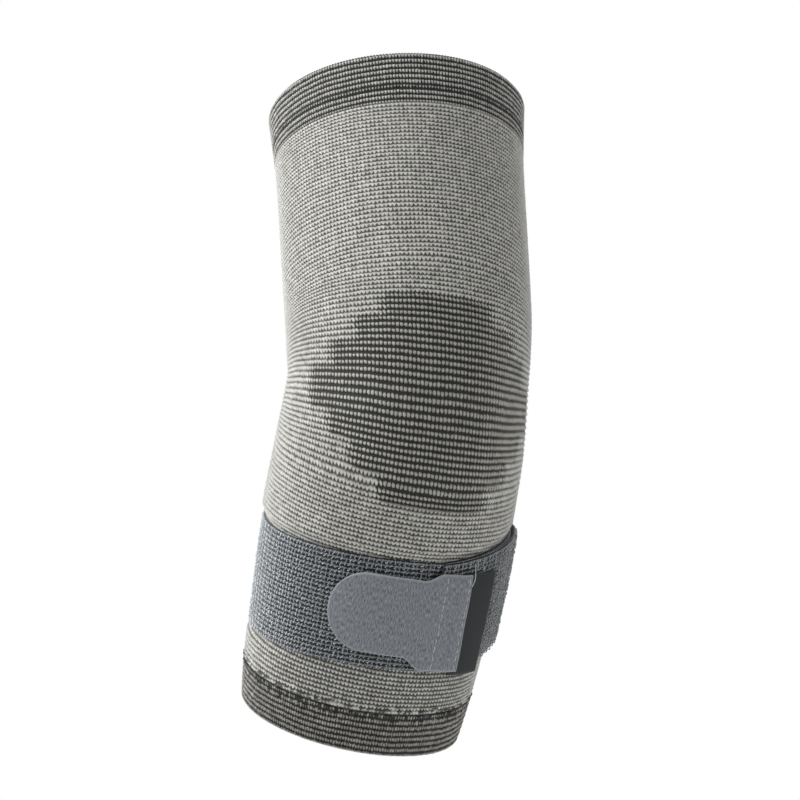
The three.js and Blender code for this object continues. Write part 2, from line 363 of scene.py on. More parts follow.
@dataclass(frozen=True)
class StrapWinding:
    """How the strap is wound: a little askew, pressed into the knit, and lapped over its own end."""

    width: float = 40.0
    thickness: float = 1.6
    end_turn: float = 10.0  # of the outer end
    lap: float = 65.0  # how far the strap lies on its own start
    slope: float = 4.0  # distance beside the strap over which the knit rises again
    drop: tuple[float, float] = (80.0, 125.0)  # turns over which it comes down past the lap
    along: SmoothCurve = SmoothCurve(
        WINDING_TURNS, (-71.5, -69.3, -66.2, -66, -70, -75, -73.2, -71.7, -71.5)
    )
    press: SmoothCurve = SmoothCurve(WINDING_TURNS, (1.3, 0.8, 0.5, 0.6, 1.3, 1.7, 1.6, 1.4, 1.3))
    flare: SmoothCurve = SmoothCurve(WINDING_TURNS, (2, 2.4, 1.2, 1.2, 1.5, 0.4, 0.8, 1.5, 2))

    def once(self, turn: Array) -> Array:
        """Brings a turn to the first time round, counted from the strap's outer end."""
        return self.end_turn + np.mod(turn - self.end_turn, 360)

    def middle(self, turn: Array) -> Array:
        """Gives the along of the strap's middle at a turn."""
        return self.along.at(self.once(turn))

    def seat(self, along: Array, turn: Array) -> Array:
        """Gives the outset of the knit that the strap presses in.

        Args:
            along: distance up the sleeve's middle line.
            turn: angle round it.

        Returns:
            Outsets.
        """
        once = self.once(turn)
        askew = (along - self.along.at(once)) / self.width
        return -self.press.at(once) - self.flare.at(once) * askew

    def lift(self, turn: Array) -> Array:
        """Gives the height of the strap's inner skin above its seat."""
        return GAP + (self.thickness + GAP) * (1 - ease(turn, *self.drop))

    def lapped_height(self) -> float:
        """Gives the height of the top of the strap's outer layer above its seat."""
        return 2 * (self.thickness + GAP)

    def knit_outset(self, form: SleeveForm, along: Array, turn: Array) -> Array:
        """Gives the outset of the knit, with the crease in the crook and the dent under the strap.

        Args:
            form: the smooth form of the sleeve.
            along: distance up its middle line.
            turn: angle round it.

        Returns:
            Outsets.
        """
        past = np.abs(along - self.middle(turn)) - self.width / 2
        pressed = 1 - ease(past, 0, self.slope)
        return self.seat(along, turn) * pressed - form.crease(along, turn)


FORM = SleeveForm()
WINDING = StrapWinding()


@dataclass(frozen=True, kw_only=True)
class Finish(ABC):
    """A finish of cloth or thread: its own colours and fine relief, under a soft gloss.

    Attributes:
        name: the material's name.
        roughness: how far the gloss is spread.
        gloss: how strong the gloss is.
        sheen: how strong the bloom is where the surface turns away.
        sheen_roughness: how far the bloom is spread.
        relief: how strong the fine relief is.
        depth: depth of that relief.
    """

    name: str
    roughness: float
    gloss: float
    sheen: float
    sheen_roughness: float
    relief: float
    depth: float

    @abstractmethod
    def paint(self, tree: Tree) -> Outputs:
        """Adds the nodes of the finish to a tree, and gives the outputs of its colour and its relief."""

    def material(self) -> bpy.types.Material:
        """Makes the material.

        Returns:
            The material, ready for a piece.
        """
        material, tree, output = new_material(self.name)
        colour, height = self.paint(tree)
        bump = add_node(
            tree, "Bump", {"Height": height, "Strength": self.relief, "Distance": self.depth * MM}
        )
        surface = add_node(
            tree,
            "BsdfPrincipled",
            {
                "Base Color": colour,
                "Roughness": self.roughness,
                "Specular IOR Level": self.gloss,
                "Sheen Weight": self.sheen,
                "Sheen Roughness": self.sheen_roughness,
                "Normal": bump.outputs["Normal"],
            },
        )
        tree.links.new(surface.outputs[0], output.inputs["Surface"])
        return material


@dataclass(frozen=True, kw_only=True)
class KnitYarn(Finish):
    """Textured polyester yarns, a light one and a dark one, knitted together.

    The face of each stitch is the light yarn and the gaps show a little of the dark one, or all of it in
    the rows that are knitted dark. The crimped filaments scatter light, so the knit is matt with a faint
    bloom where it turns away. A filament is too fine to show, so tufts of them are drawn.
    """

    dark: str
    light: str
    deep: str = "#2d2d2b"  # the dark yarn by itself
    edge: tuple[float, float]  # fullness from which the light yarn shows, and from which it covers
    tuft: float = 0.22  # width of a tuft of filaments
    fray: float = 0.5  # how far the tufts break up the light yarn's edge
    mottle: float = 9.0  # width of the slow changes of shade
    shades: tuple[float, float] = (0.97, 1.03)  # the darkest and the lightest of them
    roughness: float = 0.85
    gloss: float = 0.25
    sheen_roughness: float = 0.35
    relief: float = 0.5
    depth: float = 0.08

    def paint(self, tree: Tree) -> Outputs:
        """Adds the knit's nodes, which read the stitches from the mesh.

        Args:
            tree: the material's tree.

        Returns:
            The outputs of the colour and of the fine relief.
        """
        place = add_node(tree, "TexCoord").outputs["Object"]
        # The mesh gives the stitches' fullness, with a painted shade below the strap; their dark rows; and
        # their random tone, with a painted light at the panel's ends.
        fullness, deep, tone_and_painted_light = (
            add_node(tree, "Attribute", attribute_name=name).outputs["Fac"]
            for name in ("fullness", "deep", "tone_and_painted_light")
        )
        tuft = add_node(
            tree,
            "TexNoise",
            {"Vector": place, "Scale": 1 / (self.tuft * MM), "Detail": 2.0, "Roughness": 0.6},
        ).outputs["Fac"]
        frayed = add_node(tree, "Math", {0: tuft, 1: self.fray, 2: fullness}, operation="MULTIPLY_ADD")
        face = add_node(
            tree,
            "MapRange",
            {"Value": frayed.outputs[0], "From Min": self.edge[0], "From Max": self.edge[1]},
            interpolation_type="SMOOTHSTEP",
        )
        gaps = add_node(
            tree, "Mix", {0: deep, MIX_A: linear(self.dark), MIX_B: linear(self.deep)}, data_type="RGBA"
        )
        yarns = add_node(
            tree,
            "Mix",
            {0: face.outputs[0], MIX_A: gaps.outputs[MIX_OUT], MIX_B: linear(self.light)},
            data_type="RGBA",
        )
        cloud = add_node(
            tree, "TexNoise", {"Vector": place, "Scale": 1 / (self.mottle * MM), "Detail": 1.0}
        )
        shade = add_node(
            tree,
            "MapRange",
            {
                "Value": cloud.outputs["Fac"],
                "From Min": NOISE_SPAN[0],
                "From Max": NOISE_SPAN[1],
                "To Min": self.shades[0],
                "To Max": self.shades[1],
            },
        )
        value = add_node(tree, "Math", {0: tone_and_painted_light, 1: shade.outputs[0]}, operation="MULTIPLY")
        toned = add_node(
            tree, "HueSaturation", {"Color": yarns.outputs[MIX_OUT], "Value": value.outputs[0]}
        )
        return toned.outputs["Color"], tuft


@dataclass(frozen=True, kw_only=True)
class TexturedTape(Finish):
    """A narrow fabric of one dyed yarn, with a grain along its threads and an edge of its own shade."""

    ground: str
    thread: str
    edge: str
    grain: tuple[float, float]  # width and length of a thread's showing part
    gloss: float = 0.3
    sheen_roughness: float = 0.45
    relief: float = 0.6

    def paint(self, tree: Tree) -> Outputs:
        """Adds the tape's nodes, which read places on the cloth and its edges from the mesh.

        Args:
            tree: the material's tree.

        Returns:
            The outputs of the colour and of the fine relief.
        """
        weave = add_node(tree, "Attribute", attribute_name="weave").outputs["Vector"]
        edge = add_node(tree, "Attribute", attribute_name="edge").outputs["Fac"]
        stretch = (1 / self.grain[0], 1 / self.grain[1], 1.0)
        place = add_node(tree, "Mapping", {"Vector": weave, "Scale": stretch})
        grain = add_node(
            tree,
            "TexNoise",
            {"Vector": place.outputs[0], "Scale": 1.0, "Detail": 2.0, "Roughness": 0.55},
        ).outputs["Fac"]
        share = add_node(
            tree, "MapRange", {"Value": grain, "From Min": NOISE_SPAN[0], "From Max": NOISE_SPAN[1]}
        )
        cloth = add_node(
            tree,
            "Mix",
            {0: share.outputs[0], MIX_A: linear(self.ground), MIX_B: linear(self.thread)},
            data_type="RGBA",
        )
        edged = add_node(
            tree,
            "Mix",
            {0: edge, MIX_A: cloth.outputs[MIX_OUT], MIX_B: linear(self.edge)},
            data_type="RGBA",
        )
        return edged.outputs[MIX_OUT], grain


@dataclass(frozen=True, kw_only=True)
class SpunThread(Finish):
    """A thread or a loop of multifilament yarn: shiny filaments in a loose bundle, so a soft gloss."""

    low: str
    high: str
    fleck: float  # size of the changes of shade
    span: tuple[float, float] = (0.35, 0.65)  # noise that gives the darkest and the lightest
    bloom: float = 0.0  # how much lighter the yarn is painted where the mesh asks: a painted light, used on the strap's flanks and back
    gloss: float = 0.4
    sheen_roughness: float = 0.4
    relief: float = 0.4
    depth: float = 0.05

    def paint(self, tree: Tree) -> Outputs:
        """Adds the thread's nodes.

        Args:
            tree: the material's tree.

        Returns:
            The outputs of the colour and of the fine relief.
        """
        place = add_node(tree, "TexCoord").outputs["Object"]
        fleck = add_node(
            tree, "TexNoise", {"Vector": place, "Scale": 1 / (self.fleck * MM), "Detail": 2.0}
        ).outputs["Fac"]
        share = add_node(
            tree, "MapRange", {"Value": fleck, "From Min": self.span[0], "From Max": self.span[1]}
        )
        yarn = add_node(
            tree,
            "Mix",
            {0: share.outputs[0], MIX_A: linear(self.low), MIX_B: linear(self.high)},
            data_type="RGBA",
        )
        # The mesh's painted light on the loops at the flanks and back, less a painted shade on the +X side.
        loose = add_node(tree, "Attribute", attribute_name="loose").outputs["Fac"]
        value = add_node(
            tree, "MapRange", {"Value": loose, "To Min": 1.0, "To Max": 1 + self.bloom}, clamp=False
        )
        lit = add_node(
            tree, "HueSaturation", {"Color": yarn.outputs[MIX_OUT], "Value": value.outputs[0]}
        )
        return lit.outputs["Color"], fleck


# Light crimped yarn over a little dark: pale and matt, with a soft bloom at the flanks.
BODY_YARN = KnitYarn(
    name="polyester_knit_light_grey", dark="#484846", light="#c5c4be", edge=(0.05, 0.88), sheen=0.8
)
# Small light stitches on the dark yarn: charcoal with pale dots, and less bloom.
PANEL_YARN = KnitYarn(
    name="polyester_knit_charcoal", dark="#2d2d2b", light="#9f9e98", edge=(-0.05, 0.95), sheen=0.4
)
# Both yarns in a close double knit: narrow stripes with firm edges, and hardly any bloom.
UPPER_WELT_YARN = KnitYarn(
    name="polyester_rib_striped", dark="#2f2f2e", light="#adaca8", edge=(0.1, 0.8), sheen=0.3
)
# The same double knit, its light yarn coloured a shade darker than the upper welt's: the same stripes,
# darker.
LOWER_WELT_YARN = KnitYarn(
    name="polyester_rib_striped_dark", dark="#2b2b2a", light="#918f8a", edge=(0.1, 0.8), sheen=0.2
)
# A net of covered elastic: dark and blue-grey, and only its raised threads catch the light.
STRAP_YARN = KnitYarn(
    name="elastic_net_blue_grey", dark="#222427", light="#7a7f83", edge=(0.2, 0.9), sheen=1.0
)
# Bulked nylon in loops: cool grey flecks with a soft gloss, painted lighter on the flanks and back where
# the loops stand open, a painted light.
LOOP_YARN = SpunThread(
    name="nylon_loop_pile_blue_grey",
    low="#8d9296",
    high="#c8cdd1",
    fleck=1.2,
    roughness=0.5,
    sheen=0.6,
    bloom=0.9,
)
# Nylon tape, brushed on its outside: slate with a short upright grain, and a pale cut edge.
TAB_TAPE = TexturedTape(
    name="brushed_nylon_tape_slate",
    ground="#484c52",
    thread="#8e9298",
    edge="#8f9295",
    grain=(0.35, 1.6),
    depth=0.06,
    roughness=0.7,
    sheen=0.25,
)
# Polyester ribbon in a satin weave: even black with a low gloss, and a fold that is a little greyer.
LABEL_TAPE = TexturedTape(
    name="satin_ribbon_black",
    ground="#1b1d1f",
    thread="#242628",
    edge="#2e3033",
    grain=(0.9, 0.3),
    depth=0.03,
    roughness=0.5,
    sheen=0.05,
)
# Twisted polyester sewing thread: pale dashes with a faint gloss.
LIGHT_THREAD = SpunThread(
    name="polyester_thread_light_grey", low="#9a9da0", high="#c6c8c9", fleck=0.6, roughness=0.5, sheen=0.1
)
# The same kind of thread, dyed dark and fuzzier: a broken shadow line at the seam.
DARK_THREAD = SpunThread(
    name="polyester_thread_dark_grey", low="#2c2d2e", high="#474849", fleck=0.9, roughness=0.6, sheen=0.1
)


@dataclass(frozen=True)
class Stitch:
    """The face yarn of one stitch: a rounded grain in a row that dips under the middle of each stitch.

    Attributes:
        width: width of the grain, in columns of stitches. Above 1, the grains of a row run together.
        height: height of the grain, in rows.
        point: how much the grain narrows towards its lower end.
        power: 2 for a round grain, 1 for one with straight flanks.
        dip: how far the row dips below its middle line, in rows.
        relief: height of the grain above the ground, in millimetres.
        across: spans of the mesh across a stitch.
        down: spans of the mesh down a stitch.
    """

    width: float
    height: float
    point: float
    power: float
    dip: float
    relief: float
    across: int
    down: int

    def fullness(self, wale: Array, course: Array) -> Array:
        """Tells how far inside the grain a place is.

        Args:
            wale: place across the knit, in columns.
            course: place down the knit, in rows.

        Returns:
            1 in the middle of a grain, 0 at its edge, and less outside it.
        """
        downwards = np.mod(course + 0.5, 1) - 0.5
        width = self.width * (1 - self.point * (downwards + 0.5))
        sideways = np.abs(2 * np.mod(wale, 1) - 1) ** self.power / width**2
        return np.maximum(1 - sideways - np.abs(2 * downwards) ** self.power / self.height**2, EMPTIEST)

    def lift(self, grain: Array) -> Array:
        """Gives the height of the surface for a fullness of the grain."""
        return self.relief * (np.sqrt(np.clip(grain, 0, 1)) - 0.5)

    def zigzag(self, wale: Array) -> Array:
        """Gives how far a row lies below its middle line, in rows."""
        return self.dip * (1 - 4 * np.abs(np.mod(wale, 1) - 0.5))


@dataclass(frozen=True)
class Waver:
    """A slow wave of the rows: its height in rows, waves round the sleeve, turn to a row, and start."""

    height: float
    waves: int
    to_row: float
    start: float = 0.0


WAVERS = (Waver(0.05, 7, 0.21), Waver(0.02, 17, -0.33, 1.0))


def wander(wale: Array, course: Array) -> Array:
    """Gives the slow waver of the rows, which runs on from one knitted piece to the next.

    Args:
        wale: place round the sleeve, in columns.
        course: place down it, in rows.

    Returns:
        How far a row lies below its middle line, in rows.
    """
    turn = 2 * math.pi * wale / WALES
    return sum(
        wave.height * np.sin(wave.waves * turn + wave.to_row * course + wave.start) for wave in WAVERS
    )


def even_levels(rows: int, band: int) -> Array:
    """Gives rows a band apart from 0 on, and the last one."""
    return np.unique(np.concatenate([np.arange(0, rows, band), [rows]])).astype(float)


@dataclass
class KnittedPiece(ABC):
    """A closed knitted wall: a face of stitches, a plain back, and edges that join the two.

    Rows of stitches are counted downwards and columns towards +X at the front, as seen from outside.
    """

    name: str
    stitch: Stitch
    yarn: KnitYarn
    slot: Slot
    seed: int
    straight_ends: bool = True
    ridge: float = 0.5  # place of the grains' middles in a row
    unevenness: float = 0.05  # how far points stray, in rows and columns
    raggedness: float = 0.05  # how unevenly the light yarn covers
    tone_spread: float = 0.06  # how much the shade differs from stitch to stitch

    @abstractmethod
    def columns(self) -> tuple[int, int, bool]:
        """Gives the first column, the one after the last, and whether they go the whole way round."""

    @abstractmethod
    def levels(self) -> Array:
        """Gives the rows at which the back has its own rows of points, from the top down."""

    @abstractmethod
    def face(self, wale: Array, course: Array, lift: Array) -> Array:
        """Finds points on the face, raised by lift."""

    @abstractmethod
    def back(self, wale: Array, course: Array) -> Array:
        """Finds points on the back."""

    def knitted(self, course: Array, wale: Array) -> Array:
        """Tells whether there is knit at a place."""
        return np.ones(np.broadcast_shapes(course.shape, wale.shape), bool)

    def row_of(self, course: Array) -> Array:
        """Gives the number of the row of grains at a place."""
        return np.floor(course - self.ridge + 0.5).astype(int)

    def row_shade(self, course: Array) -> Array:
        """Gives how much fuller the light yarn is in a row."""
        return np.zeros_like(course)

    def grain(self, course: Array, wale: Array) -> tuple[Array, Array]:
        """Gives the fullness of the grains, and the height of the surface."""
        grain = self.stitch.fullness(wale, course - self.ridge)
        return grain, self.stitch.lift(grain)

    def mixed(self, course: Array) -> Array:
        """Gives how unevenly light and dark stitches mix in a row."""
        return np.zeros_like(course)

    def painted_lightness(self, wale: Array) -> Array:
        """Gives how much lighter a column's yarn is painted, as painted light: 1 where there is none."""
        return np.ones_like(wale)

    def deepness(self, course: Array, wale: Array) -> Array:
        """Tells how far the rows are knitted in the dark yarn."""
        return np.zeros_like(course)

    def zigzag(self, course: Array, wale: Array) -> Array:
        """Gives how far a row lies below its middle line, in rows."""
        return self.stitch.zigzag(wale)

    def loose(self, course: Array, wale: Array) -> Array:
        """Tells where the stitches may stray: not where another piece joins on."""
        return np.ones(course.shape, bool)

    def mesh(self) -> Piece:
        """Builds the piece.

        Returns:
            Its object.
        """
        first, last, looped = self.columns()
        levels = self.levels()
        stitch = self.stitch
        rng = np.random.default_rng(SEED + self.seed)
        whole = np.arange(math.ceil(levels[0] * stitch.down), math.floor(levels[-1] * stitch.down) + 1)
        rows = np.unique(np.round(np.concatenate([levels, whole / stitch.down]), ROW_DIGITS))
        count = (last - first) * stitch.across + (0 if looped else 1)
        wales = first + np.arange(count) / stitch.across
        course, wale = np.meshgrid(rows, wales, indexing="ij")

        fade = np.ones_like(course)
        if self.straight_ends:
            fade = np.clip(np.minimum(course - rows[0], rows[-1] - course), 0, 1)
        grain, lift = self.grain(course, wale)
        jitter = rng.normal(0, self.unevenness, (3, *course.shape)) * fade * self.loose(course, wale)
        laid = course + (self.zigzag(course, wale) + wander(wale, course)) * fade + jitter[0]
        face = self.face(wale + jitter[2], laid, lift + jitter[1] * stitch.relief)
        row = self.row_of(course)
        row -= row.min()
        column = np.floor(wale).astype(int) - first
        tones = rng.normal(1, self.tone_spread, (row.max() + 1, last - first + 1))
        # each stitch's random tone, times the painted light of its column
        tone_and_painted_light = tones[row, column] * self.painted_lightness(wale)
        fullness = grain + self.row_shade(course) + rng.normal(0, self.raggedness, course.shape)
        fullness += self.mixed(course) * rng.uniform(-1, 1, tones.shape)[row, column]

        back_wales = np.arange(first, last if looped else last + 1)
        back = self.back(*np.meshgrid(back_wales, levels, indexing="xy"))
        present = self.knitted(
            ((levels[:-1] + levels[1:]) / 2)[:, None], (np.arange(first, last) + 0.5)[None, :]
        )
        faces = self._faces(rows, levels, present, looped)
        plain = np.zeros(back.shape[0] * back.shape[1])
        return make_piece(
            self.name,
            np.concatenate([face.reshape(-1, 3), back.reshape(-1, 3)]),
            faces,
            {
                "fullness": np.concatenate([fullness.ravel(), plain + BACK_FULLNESS]),
                "tone_and_painted_light": np.concatenate([tone_and_painted_light.ravel(), plain + BACK_TONE]),
                "deep": np.concatenate([self.deepness(course, wale).ravel(), plain]),
            },
        )

    def _faces(self, rows: Array, levels: Array, present: Array, looped: bool) -> list[Array]:
        """Lists the faces of the wall.

        Args:
            rows: rows of points on the face.
            levels: rows of points on the back.
            present: for each level and column, whether there is knit.
            looped: whether the columns go the whole way round.

        Returns:
            Arrays of faces, the face's points first and the back's after them.
        """
        across = self.stitch.across
        bands, wales = present.shape
        width = wales * across + (0 if looped else 1)
        front = np.arange(len(rows) * width).reshape(len(rows), width)
        back = front.size + np.arange((bands + 1) * (wales + (0 if looped else 1))).reshape(bands + 1, -1)
        if looped:
            front = np.concatenate([front, front[:, :1]], axis=1)
            back = np.concatenate([back, back[:, :1]], axis=1)
        at_level = np.searchsorted(rows, np.round(levels, ROW_DIGITS))
        band = np.searchsorted(levels, (rows[:-1] + rows[1:]) / 2) - 1
        shown = np.repeat(present[band], across, axis=1).ravel()
        faces = [quads(front)[shown], quads(back)[present.ravel()][:, ::-1]]

        edges: dict[int, list[Array]] = {}
        for j, i in zip(*np.nonzero(present)):
            top, bottom = at_level[j], at_level[j + 1]
            left, right = i * across, (i + 1) * across
            beside = ((i - 1) % wales, (i + 1) % wales) if looped else (i - 1, i + 1)
            rims = {
                (j - 1, i): (front[top, left : right + 1], (back[j, i + 1], back[j, i])),
                (j + 1, i): (
                    front[bottom, left : right + 1][::-1],
                    (back[j + 1, i], back[j + 1, i + 1]),
                ),
                (j, beside[0]): (front[top : bottom + 1, left][::-1], (back[j, i], back[j + 1, i])),
                (j, beside[1]): (
                    front[top : bottom + 1, right],
                    (back[j + 1, i + 1], back[j, i + 1]),
                ),
            }
            for (row, column), (near, far) in rims.items():
                inside = 0 <= row < bands and 0 <= column < wales
                if not (inside and present[row, column]):
                    edge = np.concatenate([near, far])
                    edges.setdefault(len(edge), []).append(edge)
        return faces + [np.array(group) for group in edges.values()]


@dataclass(frozen=True)
class PanelOutline:
    """The lie of the rows and columns of stitches, and the stepped outline of the dark panel among them.

    Rows are counted downwards from the panel's top edge, and columns towards +X from its middle.
    """

    turn: float = -4.0
    courses: tuple[int, ...] = (4, 4, 4, 6, 4, 4, 4)
    half_wales: tuple[int, ...] = (13, 20, 27, 34, 27, 20, 13)
    aside: tuple[int, ...] = (0, 0, 0, 0, 0, 0, 1)  # columns by which a step is moved
    taper: float = 3.2  # columns past its ends over which a dark row thins out
    taper_start: float = 0.6  # columns inside its ends where that starts
    run_on: int = 2  # rows by which the dark of a step runs on into a wider one
    fade_in: tuple[float, float] = (-1.1, 0.4)  # rows beside the top of a step over which it darkens
    fade_out: tuple[float, float] = (-1.4, 0.3)  # rows beside its bottom over which that ends
    rows: SmoothCurve = SmoothCurve(
        (-45.5, -40, -28, -16, -12, -8, 0, 12, 18, 26, 30, 38, 76.5),
        (86, 78, 59.75, 39.8, 32.9, 26.7, 17.5, -0.6, -11.8, -24.7, -32.4, -45.6, -108.5),
    )
    drift: SmoothCurve = SmoothCurve((-45.5, 0, 30, 76.5), (-1.5, -0.98, 1.28, 1.8))
    lean: float = 1.2  # how far the rows drop towards +X
    lean_turn: float = -14.0
    settle: float = 5.0  # rows beside a seam over which they come level

    def steps(self) -> Array:
        """Gives the rows at which the outline steps, from 0 at the top."""
        return np.concatenate([[0], np.cumsum(self.courses)]).astype(float)

    def insets(self, wale: Array) -> Array:
        """Gives, for each step, how many columns a place lies inside its sides.

        Args:
            wale: place in columns.

        Returns:
            The columns for each step, below 0 outside it.
        """
        wale = np.asarray(wale)
        across = (len(self.aside),) + (1,) * wale.ndim
        middles, halves = (np.reshape(part, across) for part in (self.aside, self.half_wales))
        return halves - np.abs(wale[None] - middles)

    def holds(self, course: Array, wale: Array) -> Array:
        """Tells whether the panel covers a place.

        Args:
            course: row, as a column of an array.
            wale: column, as a row of an array.

        Returns:
            Whether each place is in the panel.
        """
        steps = self.steps()
        step = np.clip(np.searchsorted(steps, course) - 1, 0, len(self.courses) - 1)
        within = (course > steps[0]) & (course < steps[-1])
        return within & (self.insets(wale[0])[step[:, 0]] > 0)

    def darkness(self, course: Array, wale: Array) -> Array:
        """Tells how dark the rows are knitted: fully in the panel, and less towards the ends of its rows.

        Args:
            course: place in rows.
            wale: place in columns.

        Returns:
            1 in the panel, 0 in the body, and between them near the outline.
        """
        steps, halves = self.steps(), (0, *self.half_wales, 0)
        dark = np.zeros(np.shape(wale))
        for i, inset in enumerate(self.insets(wale)):
            above, here, below = halves[i : i + 3]
            top = steps[i] - (self.run_on if above > here else 0)
            bottom = steps[i + 1] + (self.run_on if below > here else 0)
            down = ease(course - top, *self.fade_in) * (1 - ease(course - bottom, *self.fade_out))
            dark = np.maximum(dark, down * ease(inset, -self.taper, self.taper_start))
        return dark

    def on_edge(self, course: Array, wale: Array) -> Array:
        """Tells whether a place is on a line that the outline follows."""
        sides = np.array(self.aside)[:, None] + np.outer(self.half_wales, [-1, 1])
        return np.isin(course, self.steps()) | np.isin(wale, sides)

    def turn_of(self, wale: Array) -> Array:
        """Gives the turn of a column."""
        return self.turn + WALE_TURN * wale

    def place(self, wale: Array, course: Array) -> tuple[Array, Array]:
        """Finds the along and the turn of a place in the knit.

        Args:
            wale: place in columns.
            course: place in rows.

        Returns:
            The along and the turn.
        """
        turn = self.turn_of(wale + self.drift.at(course))
        free = np.minimum(course - self.rows.places[0], self.rows.places[-1] - course)
        drop = self.lean * np.sin(np.radians(turn - self.lean_turn)) * np.clip(free / self.settle, 0, 1)
        return self.rows.at(course) - drop, turn


OUTLINE = PanelOutline()
UPPER_SEAM = 86.0  # along
LOWER_SEAM = -108.5  # along
UPPER_RIM = 104.8  # along
LOWER_RIM = -124.4  # along
SEAM_GAP = 0.05  # what is left open between two knitted pieces that join
KNIT_WALL = 2.0  # thickness of the single knit
BODY_STITCH = Stitch(width=1.22, height=0.97, point=0.0, power=1, dip=0.14, relief=0.75, across=2, down=2)
PANEL_STITCH = Stitch(width=0.94, height=0.66, point=0.0, power=2, dip=0.02, relief=0.5, across=4, down=6)


@dataclass
class SleeveBody(KnittedPiece):
    """The tube of light grey single knit between the welts, with a window for the dark panel."""

    band: int = 3  # rows of stitches to a row of points on the back
    below_strap_painted_shade: float = -0.13  # fullness taken from the rows below the strap: a painted shade where the knit lies under the strap and faces down
    below_strap_shade_rows: tuple[float, float] = (56, 62)  # rows over which that painted shade sets in
    seam_mix: float = 0.4  # how unevenly light and dark stitches mix at the lower seam
    seam_rows: tuple[float, float] = (-2.6, -1.0)  # from the seam, over which that sets in

    def columns(self) -> tuple[int, int, bool]:
        """Gives all columns round the sleeve, with the panel's middle at a border between two."""
        return -WALES // 2, WALES // 2, True

    def levels(self) -> Array:
        """Gives the two seams, the steps of the window, and rows between them.

        Returns:
            The rows, from the upper seam down.
        """
        first, last = OUTLINE.rows.places[0], OUTLINE.rows.places[-1]
        steps = OUTLINE.steps()
        ends = [first + SEAM_GAP / 2, last - SEAM_GAP / 2]
        above = np.arange(0, math.ceil(first), -self.band)[1:]
        below = np.arange(steps[-1], math.floor(last), self.band)[1:]
        return np.unique(np.concatenate([ends, above, steps, below]))

    def knitted(self, course: Array, wale: Array) -> Array:
        """Tells that there is knit all over, but for the window."""
        return ~OUTLINE.holds(course, wale)

    def grain(self, course: Array, wale: Array) -> tuple[Array, Array]:
        """Gives the body's grains, which go over into the panel's near its outline.

        Args:
            course: place in rows.
            wale: place in columns.

        Returns:
            The fullness of the grains, and the height of the surface.
        """
        dark = OUTLINE.darkness(course, wale)
        plain, small = (stitch.fullness(wale, course) for stitch in (BODY_STITCH, PANEL_STITCH))
        lift = (1 - dark) * BODY_STITCH.lift(plain) + dark * PANEL_STITCH.lift(small)
        return (1 - dark) * plain + dark * small, lift

    def row_shade(self, course: Array) -> Array:
        """Gives the painted shade on the rows below the strap, as fullness taken from their light yarn."""
        return self.below_strap_painted_shade * ease(course, *self.below_strap_shade_rows)

    def mixed(self, course: Array) -> Array:
        """Gives the mixing of light and dark stitches, just above the lower seam."""
        return self.seam_mix * ease(course - OUTLINE.rows.places[-1], *self.seam_rows)

    def deepness(self, course: Array, wale: Array) -> Array:
        """Tells how far the rows are knitted dark, in the panel and just beside it."""
        return np.sqrt(OUTLINE.darkness(course, wale))

    def zigzag(self, course: Array, wale: Array) -> Array:
        """Gives the body's zigzag, which goes over into the panel's near its outline."""
        dark = OUTLINE.darkness(course, wale)
        return (1 - dark) * BODY_STITCH.zigzag(wale) + dark * PANEL_STITCH.zigzag(wale)

    def loose(self, course: Array, wale: Array) -> Array:
        """Tells that the stitches stray all over, but for the panel's outline."""
        return ~OUTLINE.on_edge(course, wale)

    def face(self, wale: Array, course: Array, lift: Array) -> Array:
        """Finds points on the outside of the sleeve."""
        along, turn = OUTLINE.place(wale, course)
        return FORM.point(along, turn, WINDING.knit_outset(FORM, along, turn) + lift)

    def back(self, wale: Array, course: Array) -> Array:
        """Finds points on the inside of the sleeve."""
        return self.face(wale, course, np.array(-KNIT_WALL))


@dataclass
class ElbowPanel(SleeveBody):
    """The dark panel over the point of the elbow, knitted into the window of the sleeve."""

    fuller: tuple[float, float] = (-0.15, 0.2)  # how much light yarn is gained at the -X and +X ends
    stretched: tuple[float, float] = (0.35, 0.1)  # how much lighter the yarn is painted there: a painted light, strongest at the -X end that the key lamp faces
    flanks: tuple[float, float] = (6, 22)  # columns from the middle over which both set in

    def towards_ends(self, wale: Array, change: tuple[float, float]) -> Array:
        """Gives a change that sets in towards the panel's -X and +X ends."""
        return change[0] * ease(-wale, *self.flanks) + change[1] * ease(wale, *self.flanks)

    def columns(self) -> tuple[int, int, bool]:
        """Gives the columns of the panel's widest step."""
        return -max(OUTLINE.half_wales), max(OUTLINE.half_wales), False

    def levels(self) -> Array:
        """Gives the steps of the outline."""
        return OUTLINE.steps()

    def knitted(self, course: Array, wale: Array) -> Array:
        """Tells that there is knit inside the outline."""
        return OUTLINE.holds(course, wale)

    def grain(self, course: Array, wale: Array) -> tuple[Array, Array]:
        """Gives the panel's grains, smaller towards its -X end and fuller towards its +X end."""
        grain, lift = super().grain(course, wale)
        return grain + self.towards_ends(wale, self.fuller), lift

    def painted_lightness(self, wale: Array) -> Array:
        """Gives the painted light on the yarn, which rises towards the panel's ends, most at its -X end."""
        return 1 + self.towards_ends(wale, self.stretched)


